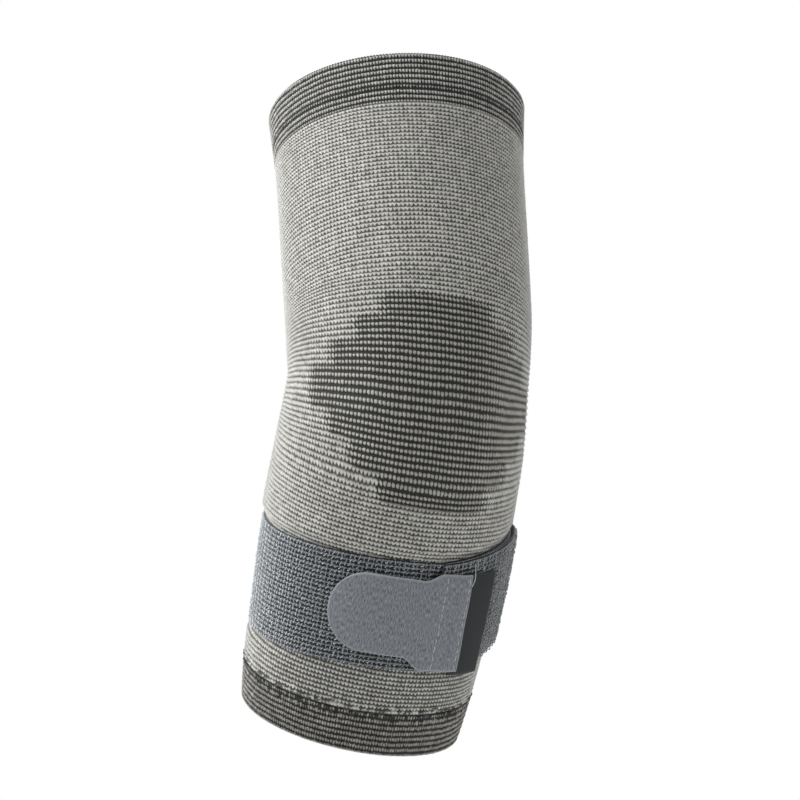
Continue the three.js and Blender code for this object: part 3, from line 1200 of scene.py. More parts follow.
@dataclass
class Welt(KnittedPiece):
    """A striped band, knitted double, with a round free edge."""

    end: End = End.UPPER
    rows: int = 10
    band: int = 2  # rows of stitches to a row of points on the back
    wales: int = 256  # columns, finer than the sleeve's
    wall: float = 2.6  # thickness of both layers
    proud: float = 0.2  # how far the welt stands out past the sleeve
    crest: float = 0.94  # share of the rim's round that the face and the back each cover
    lean: float = 0.0  # how far the rim drops towards +X
    lean_turn: float = -20.0
    shades: dict[int, float] = field(default_factory=dict)  # fullness of rows, counted from the seam
    seam_mix: float = 0.0  # how unevenly light and dark stitches mix at the seam
    mix_rows: tuple[float, float] = (1.4, 2.4)  # from the seam, over which that ends

    def seam(self) -> float:
        """Gives the along of the seam."""
        return UPPER_SEAM if self.end is End.UPPER else LOWER_SEAM

    def rim(self) -> float:
        """Gives the along of the rim."""
        return UPPER_RIM if self.end is End.UPPER else LOWER_RIM

    def columns(self) -> tuple[int, int, bool]:
        """Gives all columns round the welt."""
        return -self.wales // 2, self.wales // 2, True

    def levels(self) -> Array:
        """Gives the rows of the back, from the top down."""
        return even_levels(self.rows, self.band)

    def from_seam(self, course: Array) -> Array:
        """Gives the share of the way from the seam to the rim, for a row counted from the top."""
        share = course / self.rows
        return 1 - share if self.end is End.UPPER else share

    def profile(self, course: Array, lift: Array, side: int) -> tuple[Array, Array]:
        """Follows the welt's section from the seam to the crest of its rim.

        Args:
            course: row, counted from the top.
            lift: height above the surface.
            side: 1 on the outside, -1 on the inside.

        Returns:
            The along and the outset.
        """
        radius = self.wall / 2
        flat = abs(self.rim() - self.seam()) - radius - SEAM_GAP / 2
        travelled = self.from_seam(course) * (flat + radius * self.crest * math.pi / 2)
        angle = np.clip(travelled - flat, 0, None) / radius
        reach = SEAM_GAP / 2 + np.minimum(travelled, flat) + (radius + lift) * np.sin(angle)
        along = self.seam() + self.end.value * reach
        outset = self.proud - radius + side * (radius + lift) * np.cos(angle)
        return along, outset

    def face(self, wale: Array, course: Array, lift: Array) -> Array:
        """Finds points on the outside of the welt."""
        return self.skewed(course, wale, *self.profile(course, lift, 1))

    def back(self, wale: Array, course: Array) -> Array:
        """Finds points on the inside of the welt."""
        return self.skewed(course, wale, *self.profile(course, np.array(0.0), -1))

    def skewed(self, course: Array, wale: Array, along: Array, outset: Array) -> Array:
        """Places the welt's points, with the rim a little askew.

        Args:
            course: row, counted from the top.
            wale: column.
            along: along of the points on a straight welt.
            outset: their outset.

        Returns:
            The points.
        """
        turn = OUTLINE.turn_of(wale * WALES / self.wales)
        drop = self.lean * np.sin(np.radians(turn - self.lean_turn)) * self.from_seam(course)
        return FORM.point(along - drop, turn, outset)

    def row_shade(self, course: Array) -> Array:
        """Gives the fullness of the rows that differ from the others.

        Args:
            course: place in rows.

        Returns:
            What a row's fullness gains or loses, which is 0 for most.
        """
        row = self.row_of(course)
        row = self.rows - row if self.end is End.UPPER else row
        shade = np.zeros_like(course)
        for number, value in self.shades.items():
            shade[row == number] = value
        return shade

    def mixed(self, course: Array) -> Array:
        """Gives the mixing of light and dark stitches, beside the seam."""
        return self.seam_mix * (1 - ease(self.from_seam(course) * self.rows, *self.mix_rows))


@dataclass
class WoundStrap(KnittedPiece):
    """The loop-faced elastic strap, wound once round the sleeve and lapped over its hidden end."""

    pitch: float = 3.3  # width of a column of the net
    row: float = 1.57  # height of a row of the net
    ground: float = 0.8  # height of the net's face above its back
    surface_radius: float = 45.5  # of the strap's face, on average
    band: int = 4  # rows of the net to a row of points on the back
    edge_drawn: float = 0.3  # how far the edges are drawn in
    edge_rows: float = 0.4  # rows over which that dies away

    def column_turn(self) -> float:
        """Gives the turn of a column of the net."""
        return math.degrees(self.pitch / self.surface_radius)

    def columns(self) -> tuple[int, int, bool]:
        """Gives the columns from the outer end to the hidden one."""
        return 0, round((360 + WINDING.lap) / self.column_turn()), False

    def levels(self) -> Array:
        """Gives the rows of the back."""
        return even_levels(round(WINDING.width / self.row), self.band)

    def place(self, wale: Array, course: Array) -> tuple[Array, Array]:
        """Finds the along and the turn of a place on the strap.

        Args:
            wale: column, from the outer end.
            course: row, from the upper edge.

        Returns:
            The along and the turn.
        """
        turn = WINDING.end_turn + wale * self.column_turn()
        across = WINDING.width * (0.5 - course / self.levels()[-1])
        return WINDING.middle(turn) + across, turn

    def face(self, wale: Array, course: Array, lift: Array) -> Array:
        """Finds points on the strap's outside, whose edges are drawn in a little.

        Args:
            wale: column, from the outer end.
            course: row, from the upper edge.
            lift: height of the net's relief.

        Returns:
            The points.
        """
        along, turn = self.place(wale, course)
        rows = self.levels()[-1]
        drawn = self.edge_drawn * np.exp(-np.minimum(course, rows - course) / self.edge_rows)
        outset = WINDING.seat(along, turn) + WINDING.lift(turn) + self.ground - drawn
        return FORM.point(along, turn, outset + lift)

    def back(self, wale: Array, course: Array) -> Array:
        """Finds points on the strap's inside."""
        along, turn = self.place(wale, course)
        return FORM.point(along, turn, WINDING.seat(along, turn) + WINDING.lift(turn))


@dataclass(frozen=True)
class TabShape:
    """The hook tab: a round tongue, shoulders, and a taller base sewn to the strap's outer end."""

    thickness: float = 1.4
    middle: float = -71.5  # along
    tip_turn: float = -39.0
    base_turn: float = 23.1
    tongue: float = 28.4  # height
    upper_shoulder: tuple[float, float, float] = (1.5, 10.0, 2.9)  # its turns, and how far it stands out
    lower_shoulder: tuple[float, float, float] = (-2.5, 6.0, 4.0)
    rise: tuple[float, float] = (-6.0, 7.0)  # turns over which it climbs on the strap's outer layer
    label_rise: tuple[float, float] = (14.5, 19.0)  # and on the label
    label_thickness: float = 0.7

    def surface_radius(self) -> float:
        """Gives the radius of the surface that the tab lies on."""
        return float(FORM.radius.at(np.array(self.middle))) + WINDING.lapped_height()

    def from_tip(self, turn: Array) -> Array:
        """Gives the distance from the tip, round the sleeve."""
        return np.radians(turn - self.tip_turn) * self.surface_radius()

    def half_height(self, turn: Array, shoulder: tuple[float, float, float]) -> Array:
        """Gives the tab's height on one side of its middle.

        Args:
            turn: where to measure.
            shoulder: turns between which that side widens, and by how much.

        Returns:
            Heights.
        """
        radius = self.tongue / 2
        tip = np.minimum(self.from_tip(turn), radius)
        tongue = np.sqrt(np.clip(radius**2 - (radius - tip) ** 2, 0, None))
        return tongue + shoulder[2] * ease(turn, *shoulder[:2])

    def lift(self, turn: Array) -> Array:
        """Gives the height of the hook side: on one layer of strap, on two, then on the label too.

        Args:
            turn: where to measure.

        Returns:
            Heights above the strap's seat.
        """
        onto_strap = (WINDING.thickness + GAP) * ease(turn, *self.rise)
        onto_label = (self.label_thickness + GAP) * ease(turn, *self.label_rise)
        return 2 * GAP + WINDING.thickness + onto_strap + onto_label

    def holds(self, along: Array, turn: Array, margin: float) -> Array:
        """Tells whether the tab covers a place, or comes within a margin of it.

        Args:
            along: distance up the sleeve.
            turn: angle round it, from -180 to 180.
            margin: distance that counts as covered.

        Returns:
            Whether each place is covered.
        """
        spare = math.degrees(margin / self.surface_radius())
        within = (turn > self.tip_turn - spare) & (turn < self.base_turn + spare)
        near = np.clip(turn + np.where(turn < 0, spare, 0), self.tip_turn, self.base_turn)
        over = self.half_height(near, self.upper_shoulder) + margin
        under = self.half_height(near, self.lower_shoulder) + margin
        across = along - self.middle
        return within & (across < over) & (across > -under)


TAB = TabShape()


def tape_piece(
    name: str,
    middle: float,
    across: Array,
    turn: Array,
    outsets: tuple[Array, Array],
    edges: tuple[Array, Array],
) -> Piece:
    """Makes a tape that lies round the sleeve, closed all over.

    Args:
        name: the piece's name.
        middle: along of the tape's middle.
        across: heights above it of a grid of places, from the top down.
        turn: the turns of those places.
        outsets: their outsets, on the outside and on the inside.
        edges: how far each place is edge, on the outside and on the inside.

    Returns:
        The object.
    """
    points, faces = closed_sheet(*(FORM.point(middle + across, turn, outset) for outset in outsets))
    weave = np.stack([np.radians(turn) * TAB.surface_radius(), across, np.zeros_like(across)], axis=-1)
    both = {
        "weave": np.concatenate([weave.reshape(-1, 3)] * 2),
        "edge": np.concatenate([edge.ravel() for edge in edges]),
    }
    piece = make_piece(name, points, faces, both)
    piece.data.set_sharp_from_angle(angle=math.radians(SHARP))
    return piece


@dataclass
class ClosureTab:
    """The hook tab as a cut piece of brushed tape, with its sewing."""

    shape: TabShape = TAB
    columns: int = 130
    crowding: float = 1.35  # how far the columns crowd towards the round tip
    rows: int = 44
    tip_gap: float = 0.02  # turn by which the mesh stops short of the tip
    edge_width: float = 0.32
    edge_core: float = 0.25  # share of that width that is wholly edge
    edge_round: float = 0.35  # how far the edge is drawn in
    edge_fall: float = 0.35  # distance from the edge over which that dies away
    inner_round: float = 0.3  # of the rounding, on the hook side
    wave: float = 0.12  # height of the tape's slow waves
    wave_form: tuple[float, float] = (0.31, 0.09)  # their angle to a millimetre across, and to a degree
    wave_swell: tuple[float, float] = (0.13, 0.5)  # angle of their swelling to a degree, and its start
    seams: tuple[tuple[float, float], ...] = ((11.6, 10.6), (21.9, 20.9))  # turns, at the top and bottom
    seam_spare: float = 8.0  # how much longer a seam is than the tongue is high
    pucker: float = 0.28  # how deep the seams pull in
    pucker_width: float = 0.7
    stitch_length: float = 2.5
    stitch_gap: float = 0.7
    stitch_points: int = 7
    lengths: tuple[float, float] = (0.75, 1.15)  # of a stitch, beside the usual one
    gaps: tuple[float, float] = (0.6, 1.5)  # between stitches, beside the usual one
    stray: float = 0.1  # turn by which a stitch strays from its seam
    arch: tuple[float, float] = (0.8, 0.25)  # how far a stitch stands up and its ends go in, in threads
    thread: float = 0.34  # thickness
    first_stitch: float = 1.0  # distance from the tab's upper edge
    tail_points: int = 14
    tail_turn: tuple[float, float] = (22.6, 2.2)  # where the loose end starts, and how far it goes
    tail_across: tuple[float, float] = (-1.5, 8.5)  # the same, from the tongue's upper edge
    tail_lift: tuple[float, float] = (2.6, -1.2)  # the same, above the strap
    tail_curl: tuple[float, float] = (0.5, 5.0)  # its swing, and the angle that it swings through
    tail_bow: float = 0.5  # how far its middle stands off
    seed: int = 21

    def seam_turn(self, seam: tuple[float, float], across: Array) -> Array:
        """Gives the turn of a seam at a height across the tab."""
        share = 0.5 - across / (self.shape.tongue + self.seam_spare)
        return seam[0] + (seam[1] - seam[0]) * share

    def outset(self, across: Array, turn: Array) -> Array:
        """Gives the outset of the tab's outer side.

        Args:
            across: height from the tab's middle.
            turn: angle round the sleeve.

        Returns:
            Outsets.
        """
        shape = self.shape
        seat = WINDING.seat(shape.middle + across, turn)
        sunk = np.zeros_like(turn)
        for seam in self.seams:
            apart = np.radians(turn - self.seam_turn(seam, across)) * shape.surface_radius()
            sunk = sunk + self.pucker * np.exp(-((apart / self.pucker_width) ** 2))
        wave = self.wave * np.sin(self.wave_form[0] * across + self.wave_form[1] * turn)
        wave = wave * np.cos(self.wave_swell[0] * turn + self.wave_swell[1])
        return seat + shape.lift(turn) + shape.thickness - sunk + wave

    def mesh(self) -> Piece:
        """Builds the tab.

        Returns:
            Its object.
        """
        shape = self.shape
        share = np.linspace(0, 1, self.columns)
        start = shape.tip_turn + self.tip_gap
        turns = start + (shape.base_turn - start) * share**self.crowding
        down = np.linspace(1, -1, self.rows)[:, None]
        over = shape.half_height(turns, shape.upper_shoulder)[None, :]
        under = shape.half_height(turns, shape.lower_shoulder)[None, :]
        across = np.where(down > 0, down * over, down * under)
        turn = np.broadcast_to(turns[None, :], across.shape)
        radius = shape.tongue / 2
        round_tip = radius - np.hypot(radius - shape.from_tip(turn), across)
        beside = np.minimum(over - across, under + across)
        to_base = np.radians(shape.base_turn - turn) * shape.surface_radius()
        inset = np.where(shape.from_tip(turn) < radius, round_tip, np.minimum(beside, to_base))
        inset = np.clip(inset, 0, None)
        drawn = self.edge_round * np.exp(-inset / self.edge_fall)
        outer = self.outset(across, turn) - drawn
        seat = WINDING.seat(shape.middle + across, turn)
        inner = seat + shape.lift(turn) + self.inner_round * drawn
        edge = 1 - ease(inset, self.edge_core * self.edge_width, self.edge_width)
        sides = (edge, np.ones_like(edge))
        return tape_piece("tab_tape", shape.middle, across, turn, (outer, inner), sides)

    def sewing(self) -> Piece:
        """Builds the two rows of stitches across the base, and the thread's tail.

        Returns:
            Their object.
        """
        shape = self.shape
        rng = np.random.default_rng(SEED + self.seed)
        strands = []
        share = np.linspace(0, 1, self.stitch_points)
        rise = arched(share, self.thread, self.arch)
        for seam in self.seams:
            across = shape.tongue / 2 + shape.upper_shoulder[2] - self.first_stitch
            while across > -shape.tongue / 2 - shape.lower_shoulder[2] + self.stitch_length:
                length = self.stitch_length * rng.uniform(*self.lengths)
                line = across - share * length
                turn = self.seam_turn(seam, line) + rng.normal(0, self.stray)
                strands.append(FORM.point(shape.middle + line, turn, self.outset(line, turn) + rise))
                across -= length + self.stitch_gap * rng.uniform(*self.gaps)
        return thread_piece("tab_stitches", [*strands, self.tail()], self.thread / 2)

    def tail(self) -> Array:
        """Follows the thread's loose end, out past the base's upper corner.

        Returns:
            Its points.
        """
        share = np.linspace(0, 1, self.tail_points)
        swing, through = self.tail_curl
        turn = self.tail_turn[0] + self.tail_turn[1] * share + swing * np.sin(through * share)
        across = self.shape.tongue / 2 + self.tail_across[0] + self.tail_across[1] * share
        along = self.shape.middle + across
        lift = WINDING.lapped_height() + self.tail_lift[0] + self.tail_lift[1] * share
        lift = lift + self.tail_bow * np.sin(math.pi * share)
        return FORM.point(along, turn, WINDING.seat(along, turn) + lift)


def thread_piece(name: str, strands: list[Array], radius: float, sides: int = 6) -> Piece:
    """Makes round threads with closed, tapered ends, joined in one mesh.

    Args:
        name: the piece's name.
        strands: the points that each thread follows.
        radius: radius of a thread.
        sides: sides of its section.

    Returns:
        The object.
    """
    points: list[Array] = []
    around: list[Array] = []
    caps: list[Array] = []
    start = 0
    angles = np.arange(sides) * 2 * math.pi / sides
    for strand in strands:
        ahead = unit(np.gradient(strand, axis=0))
        sideways = unit(np.cross(ahead, ASKEW))
        upwards = np.cross(sideways, ahead)
        share = np.linspace(-1, 1, len(strand))
        thick = radius * (1 - THREAD_TAPER * share**TAPER_POWER)[:, None, None]
        cosine, sine = (part(angles)[None, :, None] for part in (np.cos, np.sin))
        ring = cosine * sideways[:, None] + sine * upwards[:, None]
        points.append((strand[:, None] + thick * ring).reshape(-1, 3))
        grid = start + np.arange(len(strand) * sides).reshape(len(strand), sides)
        grid = np.concatenate([grid, grid[:, :1]], axis=1)
        around.append(quads(grid)[:, ::-1])
        caps.append(np.stack([grid[0, :-1], grid[-1, :-1][::-1]]))
        start += len(strand) * sides
    return make_piece(name, np.concatenate(points), [np.concatenate(around), np.concatenate(caps)])


@dataclass
class LoopPile:
    """The loops on the strap's face: an arch of yarn in each opening of its net."""

    strap: WoundStrap
    columns: int = 2  # of loops, to a column of the net
    width: float = 1.25
    height: float = 1.05
    yarn: float = 0.17  # radius of the yarn
    flat: float = 0.7  # thickness of the yarn across a loop, beside that along it
    short: float = 0.65  # height of every second loop of a row, beside the others
    slants: tuple[float, float] = (30.0, 22.0)  # of the tall loops and the short ones
    slant_spread: float = 12.0
    droop: float = 0.5  # how far the worn loops hang down, beside how far they stand out
    lean_spread: float = 0.25  # how far loops lean each way, beside how far they stand out
    sizes: tuple[float, float] = (0.88, 1.08)  # of a loop, beside the usual one
    stray: tuple[float, float] = (0.1, 0.05)  # how far loops stray, in rows and columns
    edge_rows: float = 0.6  # least rows from a loop to the strap's edge
    end_gap: float = 1.0  # turn that is left free at the strap's outer end
    wear_and_painted_light_ends: tuple[tuple[float, float], ...] = ((40, 75), (140, 180))  # turns to -X and +X where the worn front ends; past them the loops stand looser and get a painted light
    straightened: tuple[float, float] = (0.7, 0.75)  # slant and lean that loops lose past there
    lowered: tuple[float, float] = (0.35, 0.75)  # height that tall and short loops lose past there
    pressed: tuple[tuple[float, float], ...] = ((20, 50), (100, 140))  # turns over which the loops are painted darker, and where that ends: a painted shade on the +X side
    painted_shade: float = 0.4  # how much darker those loops are painted
    under_tab: float = 0.6  # how far loops go on under the tab's edge
    beside_label: float = 0.4  # room round the label
    probe: float = 0.2  # rows by which the way up is found
    seed: int = 33

    def arch(self) -> tuple[Array, Array]:
        """Models one loop: half of a ring, closed where it goes into the net.

        Returns:
            Its points, in millimetres, and its triangles.
        """
        bpy.ops.object.select_all(action="DESELECT")
        bpy.ops.mesh.primitive_torus_add(
            major_segments=6, minor_segments=4, major_radius=self.width / 2, minor_radius=self.yarn
        )
        ring = bpy.context.object
        bpy.ops.object.mode_set(mode="EDIT")
        bpy.ops.mesh.select_all(action="SELECT")
        bpy.ops.mesh.bisect(plane_co=(0, 0, 0), plane_no=(0, 1, 0), use_fill=True, clear_inner=True)
        bpy.ops.mesh.select_all(action="SELECT")
        bpy.ops.mesh.quads_convert_to_tris()
        bpy.ops.object.mode_set(mode="OBJECT")
        points = np.array([vertex.co for vertex in ring.data.vertices])
        faces = np.array([face.vertices for face in ring.data.polygons])
        points[:, 1] *= self.height / (self.width / 2 + self.yarn)
        bpy.data.objects.remove(ring, do_unlink=True)
        return points, faces

    def mesh(self) -> Piece:
        """Builds all loops that aren't under the tab, the label or the strap's own lap.

        Returns:
            Their object.
        """
        rng = np.random.default_rng(SEED + self.seed)
        shape, faces = self.arch()
        strap = self.strap
        rows = int(strap.levels()[-1])
        columns = self.columns * round(360 / strap.column_turn())
        middles = (np.arange(columns) + 0.5) / self.columns
        course, wale = np.meshgrid(np.arange(rows) + 0.5, middles, indexing="ij")
        tall = np.broadcast_to(np.arange(columns) % 2 == 0, course.shape).ravel()
        course = course + rng.normal(0, self.stray[0], course.shape)
        course = np.clip(course, self.edge_rows, rows - self.edge_rows).ravel()
        wale = (wale + rng.normal(0, self.stray[1], wale.shape)).ravel()
        along, turn = strap.place(wale, course)
        facing = np.mod(turn + 180, 360) - 180
        covered = TAB.holds(along, facing, -self.under_tab) | LABEL.holds(along, facing, self.beside_label)
        kept = ~covered & (turn < 360 + WINDING.end_turn - self.end_gap)
        course, wale, tall, facing = course[kept], wale[kept], tall[kept], facing[kept]
        count = len(course)
        # How loose the loops stand away from the worn front; the same share also gives their painted light.
        loose = np.where(facing < 0, ease(-facing, *self.wear_and_painted_light_ends[0]), ease(facing, *self.wear_and_painted_light_ends[1]))

        flat = np.zeros(count)
        base = strap.face(wale, course, flat)
        outwards = strap.face(wale, course, flat + 1) - base
        upwards = unit(strap.face(wale, course - self.probe, flat) - base)
        sideways = np.cross(upwards, outwards)
        slant = np.where(tall, *self.slants) + rng.normal(0, self.slant_spread, count)
        twist = np.radians(slant * (1 - self.straightened[0] * loose))[:, None]
        span = np.cos(twist) * upwards + np.sin(twist) * sideways
        lean = rng.normal(0, self.lean_spread, (2, count, 1)) - [[[self.droop]], [[0]]]
        lean *= 1 - self.straightened[1] * loose[:, None]
        standing = unit(outwards + lean[0] * upwards + lean[1] * sideways)
        thick = np.cross(span, standing)
        size = rng.uniform(*self.sizes, (count, 1, 1))
        tallness = 1 - np.where(tall, *self.lowered) * loose
        tallness = (np.where(tall, 1, self.short) * tallness)[:, None, None]
        placed = (
            shape[None, :, 0:1] * span[:, None] * size
            + shape[None, :, 1:2] * standing[:, None] * size * tallness
            + shape[None, :, 2:3] * thick[:, None] * self.flat
        )
        points = base[:, None] + placed
        copies = faces[None] + (np.arange(count) * len(shape))[:, None, None]
        # The loops' colour: painted light where they stand loose, less a painted shade on the +X side.
        pressed = ease(facing, *self.pressed[0]) * (1 - ease(facing, *self.pressed[1]))
        each = np.repeat(loose - self.painted_shade * pressed, len(shape))
        return make_piece("strap_loops", points.reshape(-1, 3), [copies.reshape(-1, 3)], {"loose": each})


@dataclass
class FoldedLabel:
    """The bare folded ribbon, held under the base of the tab."""

    thickness: float = 0.7
    middle: float = -73.0  # along
    height: float = 37.0
    turns: tuple[float, float, float] = (20.0, 39.8, 37.9)  # under the tab, and the fold's top and bottom
    fold_round: float = 0.3  # how far the fold is drawn in
    end_round: float = 0.12  # and the ends
    round_fall: float = 0.3  # distance over which both die away
    columns: int = 40
    rows: int = 60

    def holds(self, along: Array, turn: Array, margin: float) -> Array:
        """Tells whether the label covers a place, or comes within a margin of it.

        Args:
            along: distance up the sleeve.
            turn: angle round it, from -180 to 180.
            margin: distance that counts as covered.

        Returns:
            Whether each place is covered.
        """
        spare = math.degrees(margin / TAB.surface_radius())
        within = (turn > self.turns[0] - spare) & (turn < self.fold(along) + spare)
        return within & (np.abs(along - self.middle) < self.height / 2 + margin)

    def fold(self, along: Array) -> Array:
        """Gives the turn of the fold."""
        share = 0.5 + (along - self.middle) / self.height
        return self.turns[2] + (self.turns[1] - self.turns[2]) * share

    def mesh(self) -> Piece:
        """Builds the label.

        Returns:
            Its object.
        """
        share, down = np.meshgrid(
            np.linspace(0, 1, self.columns), np.linspace(0.5, -0.5, self.rows), indexing="xy"
        )
        across = down * self.height
        along = self.middle + across
        turn = self.turns[0] + (self.fold(along) - self.turns[0]) * share
        to_fold = np.radians(self.fold(along) - turn) * TAB.surface_radius()
        to_end = self.height / 2 - np.abs(across)
        drawn = self.fold_round * np.exp(-to_fold / self.round_fall)
        drawn = drawn + self.end_round * np.exp(-to_end / self.round_fall)
        inner = WINDING.seat(along, turn) + WINDING.lapped_height() + GAP
        outer = inner + self.thickness - drawn
        edge = np.exp(-np.minimum(to_fold, to_end) / self.round_fall)
        return tape_piece("label_ribbon", self.middle, across, turn, (outer, inner), (edge, edge))


LABEL = FoldedLabel()


@dataclass
class LinkingSeam:
    """The dark thread that links the lower welt to the sleeve, in broken stitches along the seam."""

    count: int = 130
    thread: float = 0.42  # thickness
    length: tuple[float, float] = (1.0, 3.4)
    points: int = 6
    stray: float = 0.4  # how far stitches stray round the seam, beside their spacing
    spread: float = 0.9  # how far they stray up and down
    above: float = 0.5  # how far above the seam most of them lie
    climb: float = 0.7  # how far one climbs or drops from end to end
    outset: float = 0.42  # of the cloth that the stitches lie on
    arch: tuple[float, float] = (0.5, 0.35)  # how far a stitch stands up and its ends go in, in threads
    seed: int = 55

    def mesh(self) -> Piece:
        """Builds the stitches.

        Returns:
            Their object.
        """
        rng = np.random.default_rng(SEED + self.seed)
        radius = float(FORM.radius.at(np.array(LOWER_SEAM)))
        share = np.linspace(0, 1, self.points)
        lift = self.outset + arched(share, self.thread, self.arch)
        strands = []
        for i in range(self.count):
            turn = (i + rng.uniform(-self.stray, self.stray)) * 360 / self.count
            reach = math.degrees(rng.uniform(*self.length) / radius)
            along = LOWER_SEAM + self.above + rng.normal(0, self.spread) + rng.normal(0, self.climb) * share
            strands.append(FORM.point(along, turn + share * reach, lift))
        return thread_piece("lower_seam_stitches", strands, self.thread / 2)


@dataclass(frozen=True)
class Studio:
    """A pale floor, soft light mostly from the left, and a camera at the picture's viewing angle.

    Attributes:
        azimuth: where the camera stands, from -Y towards +X.
        roll: how far the camera is tipped.
        distance: from the camera to the elbow, in metres.
        pixel: size of a pixel at the elbow, in millimetres.
        centre: pixel of the elbow's middle in the picture.
        size: pixels across the picture.
        sensor: width of the camera's sensor, in millimetres.
        lamp_distance: from a lamp to the elbow, in metres.
        floor_drop: from the elbow down to the floor, in metres.
        floor_radius: of the floor, in metres.
        paper_grain: size of the floor's faint grain, in millimetres.
        ambient: strength of the surround's light, from below and from above.
    """

    azimuth: float = -19.64
    roll: float = -5.57
    distance: float = 1.2
    pixel: float = 0.353
    centre: tuple[float, float] = (407.2, 381.7)
    size: int = 800
    sensor: float = 36.0
    lamp_distance: float = 1.3
    floor_drop: float = 0.3
    floor_radius: float = 0.6
    paper_grain: float = 3.0
    ambient: tuple[float, float] = (0.17, 0.62)

    def axes(self) -> tuple[Vector, Vector, Vector]:
        """Gives the camera's directions.

        Returns:
            To the camera's right, upwards, and from the object to the camera.
        """
        angle = math.radians(self.azimuth)
        right = Vector((math.cos(angle), math.sin(angle), 0))
        towards = Vector((math.sin(angle), -math.cos(angle), 0))
        return right, Vector((0, 0, 1)), towards

    def camera(self) -> None:
        """Makes the camera, with the small shift that the picture's framing needs."""
        data = bpy.data.cameras.new("camera")
        camera = bpy.data.objects.new("camera", data)
        bpy.context.scene.collection.objects.link(camera)
        right, up, towards = self.axes()
        tip = math.radians(self.roll)
        across = math.cos(tip) * right - math.sin(tip) * up
        upright = math.sin(tip) * right + math.cos(tip) * up
        turned = Matrix((across, upright, towards)).transposed().to_4x4()
        camera.matrix_world = Matrix.Translation(towards * self.distance) @ turned
        data.sensor_width = self.sensor
        data.lens = data.sensor_width * self.distance / (self.size * self.pixel * MM)
        data.shift_x = -(self.centre[0] - self.size / 2) / self.size
        data.shift_y = (self.centre[1] - self.size / 2) / self.size
        bpy.context.scene.camera = camera

    def lamp(self, name: str, power: float, size: float, side: float, rise: float) -> None:
        """Adds a soft square lamp that faces the elbow.

        Args:
            name: its name.
            power: in watts.
            size: of its side, in metres.
            side: angle from the camera's line, positive to the camera's right.
            rise: angle above the horizon.
        """
        data = bpy.data.lights.new(name, "AREA")
        data.energy, data.size = power, size
        lamp = bpy.data.objects.new(name, data)
        bpy.context.scene.collection.objects.link(lamp)
        right, up, towards = self.axes()
        angle, height = math.radians(side), math.radians(rise)
        level = math.sin(angle) * right + math.cos(angle) * towards
        direction = math.cos(height) * level + math.sin(height) * up
        lamp.location = direction * self.lamp_distance
        lamp.rotation_euler = direction.to_track_quat("Z", "Y").to_euler()

    def world(self) -> None:
        """Makes an even, soft surround that shows as white behind the object."""
        world = bpy.data.worlds.new("soft_surround")
        bpy.context.scene.world = world
        world.use_nodes = True
        tree = world.node_tree
        tree.nodes.clear()
        seen = add_node(tree, "Background", {"Color": linear("#ffffff"), "Strength": 1.0})
        place = add_node(tree, "TexCoord")
        height = add_node(tree, "SeparateXYZ", {0: place.outputs["Generated"]})
        strength = add_node(
            tree,
            "MapRange",
            {
                "Value": height.outputs["Z"],
                "From Min": -1.0,
                "To Min": self.ambient[0],
                "To Max": self.ambient[1],
            },
        )
        glow = add_node(
            tree, "Background", {"Color": linear("#ffffff"), "Strength": strength.outputs[0]}
        )
        path = add_node(tree, "LightPath")
        either = add_node(
            tree,
            "MixShader",
            {0: path.outputs["Is Camera Ray"], 1: glow.outputs[0], 2: seen.outputs[0]},
        )
        add_node(tree, "OutputWorld", {"Surface": either.outputs[0]})

    def floor(self) -> None:
        """Makes the pale floor, well below the held-up sleeve."""
        bpy.ops.object.select_all(action="DESELECT")
        bpy.ops.mesh.primitive_circle_add(
            vertices=96, radius=self.floor_radius, fill_type="NGON", location=(0, 0, -self.floor_drop)
        )
        floor = bpy.context.object
        floor.name = "floor"
        # Matt coated paper: near white, with a grain that hardly shows.
        material, tree, output = new_material("matt_pale_paper")
        scale = 2 * self.floor_radius / (self.paper_grain * MM)
        grain = add_node(tree, "TexNoise", {"Scale": scale})
        tint = add_node(
            tree,
            "Mix",
            {0: grain.outputs["Fac"], MIX_A: linear("#f1f1ef"), MIX_B: linear("#f6f6f5")},
            data_type="RGBA",
        )
        finish = {"Base Color": tint.outputs[MIX_OUT], "Roughness": 0.95}
        surface = add_node(tree, "BsdfPrincipled", finish)
        tree.links.new(surface.outputs[0], output.inputs["Surface"])
        floor.data.materials.append(material)

    def build(self) -> None:
        """Sets up the camera, the light and the floor."""
        self.camera()
        self.world()
        self.floor()
        self.lamp("key_left", 25.0, 0.9, -84, 40)
        self.lamp("fill_right", 3.6, 0.9, 65, 12)
        view = bpy.context.scene.view_settings
        view.view_transform = "Standard"
        view.look = "None"


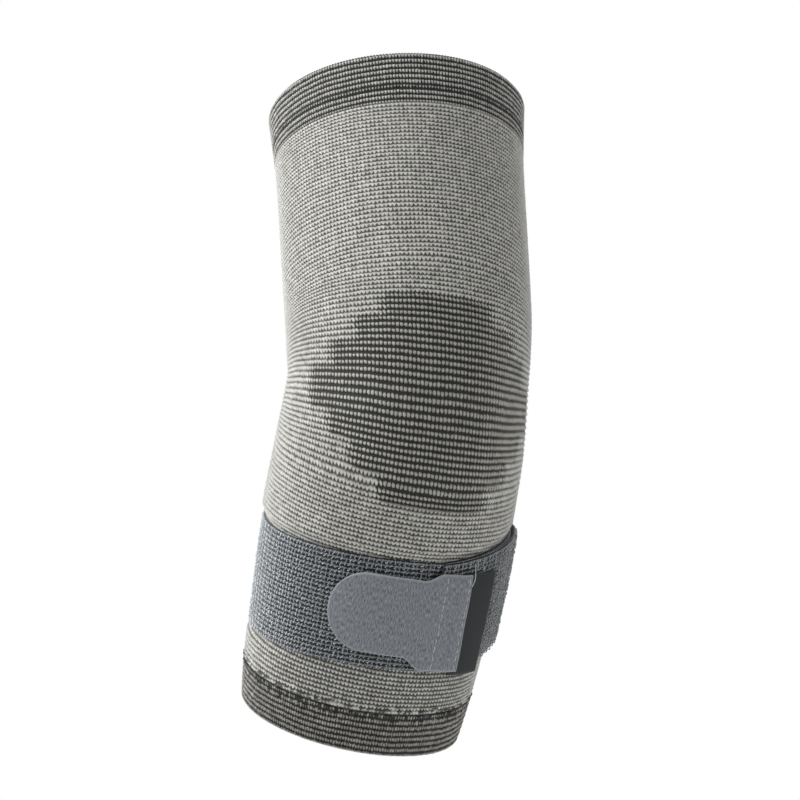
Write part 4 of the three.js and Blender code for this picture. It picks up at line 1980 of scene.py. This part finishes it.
def main() -> None:
    """Builds the sleeve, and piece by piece."""
    logging.basicConfig(level=logging.INFO, format="%(message)s")
    Studio().build()

    body = SleeveBody("sleeve_body_knit", BODY_STITCH, BODY_YARN, Slot.BODY, 1, ridge=0.0, raggedness=0.1)
    panel = ElbowPanel(
        "elbow_panel_knit", PANEL_STITCH, PANEL_YARN, Slot.PANEL, 2, straight_ends=False, ridge=0.0
    )
    upper = Welt(
        "upper_welt_knit",
        Stitch(width=0.96, height=0.68, point=0.1, power=2, dip=0.06, relief=0.5, across=4, down=5),
        UPPER_WELT_YARN,
        Slot.WELT,
        3,
        end=End.UPPER,
        ridge=0.0,
        raggedness=0.12,
        tone_spread=0.1,
        shades={3: -0.4, 10: -0.6},
    )
    lower = Welt(
        "lower_welt_knit",
        Stitch(width=0.98, height=0.66, point=0.1, power=2, dip=0.06, relief=0.5, across=4, down=5),
        LOWER_WELT_YARN,
        Slot.WELT,
        4,
        end=End.LOWER,
        ridge=0.38,
        unevenness=0.08,
        raggedness=0.18,
        tone_spread=0.13,
        rows=8,
        lean=1.2,
        shades={0: -0.4},
        seam_mix=0.5,
    )
    strap = WoundStrap(
        "strap_net",
        Stitch(width=1.7, height=0.55, point=0.0, power=2, dip=0.0, relief=0.25, across=4, down=4),
        STRAP_YARN,
        Slot.STRAP,
        5,
        straight_ends=False,
    )
    made = {
        node: dress(piece.mesh(), piece.yarn.material(), node)
        for node, piece in {
            "sleeve_body": body,
            "elbow_panel": panel,
            "upper_welt": upper,
            "lower_welt": lower,
            "strap": strap,
        }.items()
    }
    loops = dress(LoopPile(strap).mesh(), LOOP_YARN.material(), "strap")
    tab = ClosureTab()
    tape = dress(tab.mesh(), TAB_TAPE.material(), "closure_tab")
    sewing = dress(tab.sewing(), LIGHT_THREAD.material(), "closure_tab")
    ribbon = dress(LABEL.mesh(), LABEL_TAPE.material(), "label")
    linking = dress(LinkingSeam().mesh(), DARK_THREAD.material(), "lower_welt")


if __name__ == "__main__":
    main()
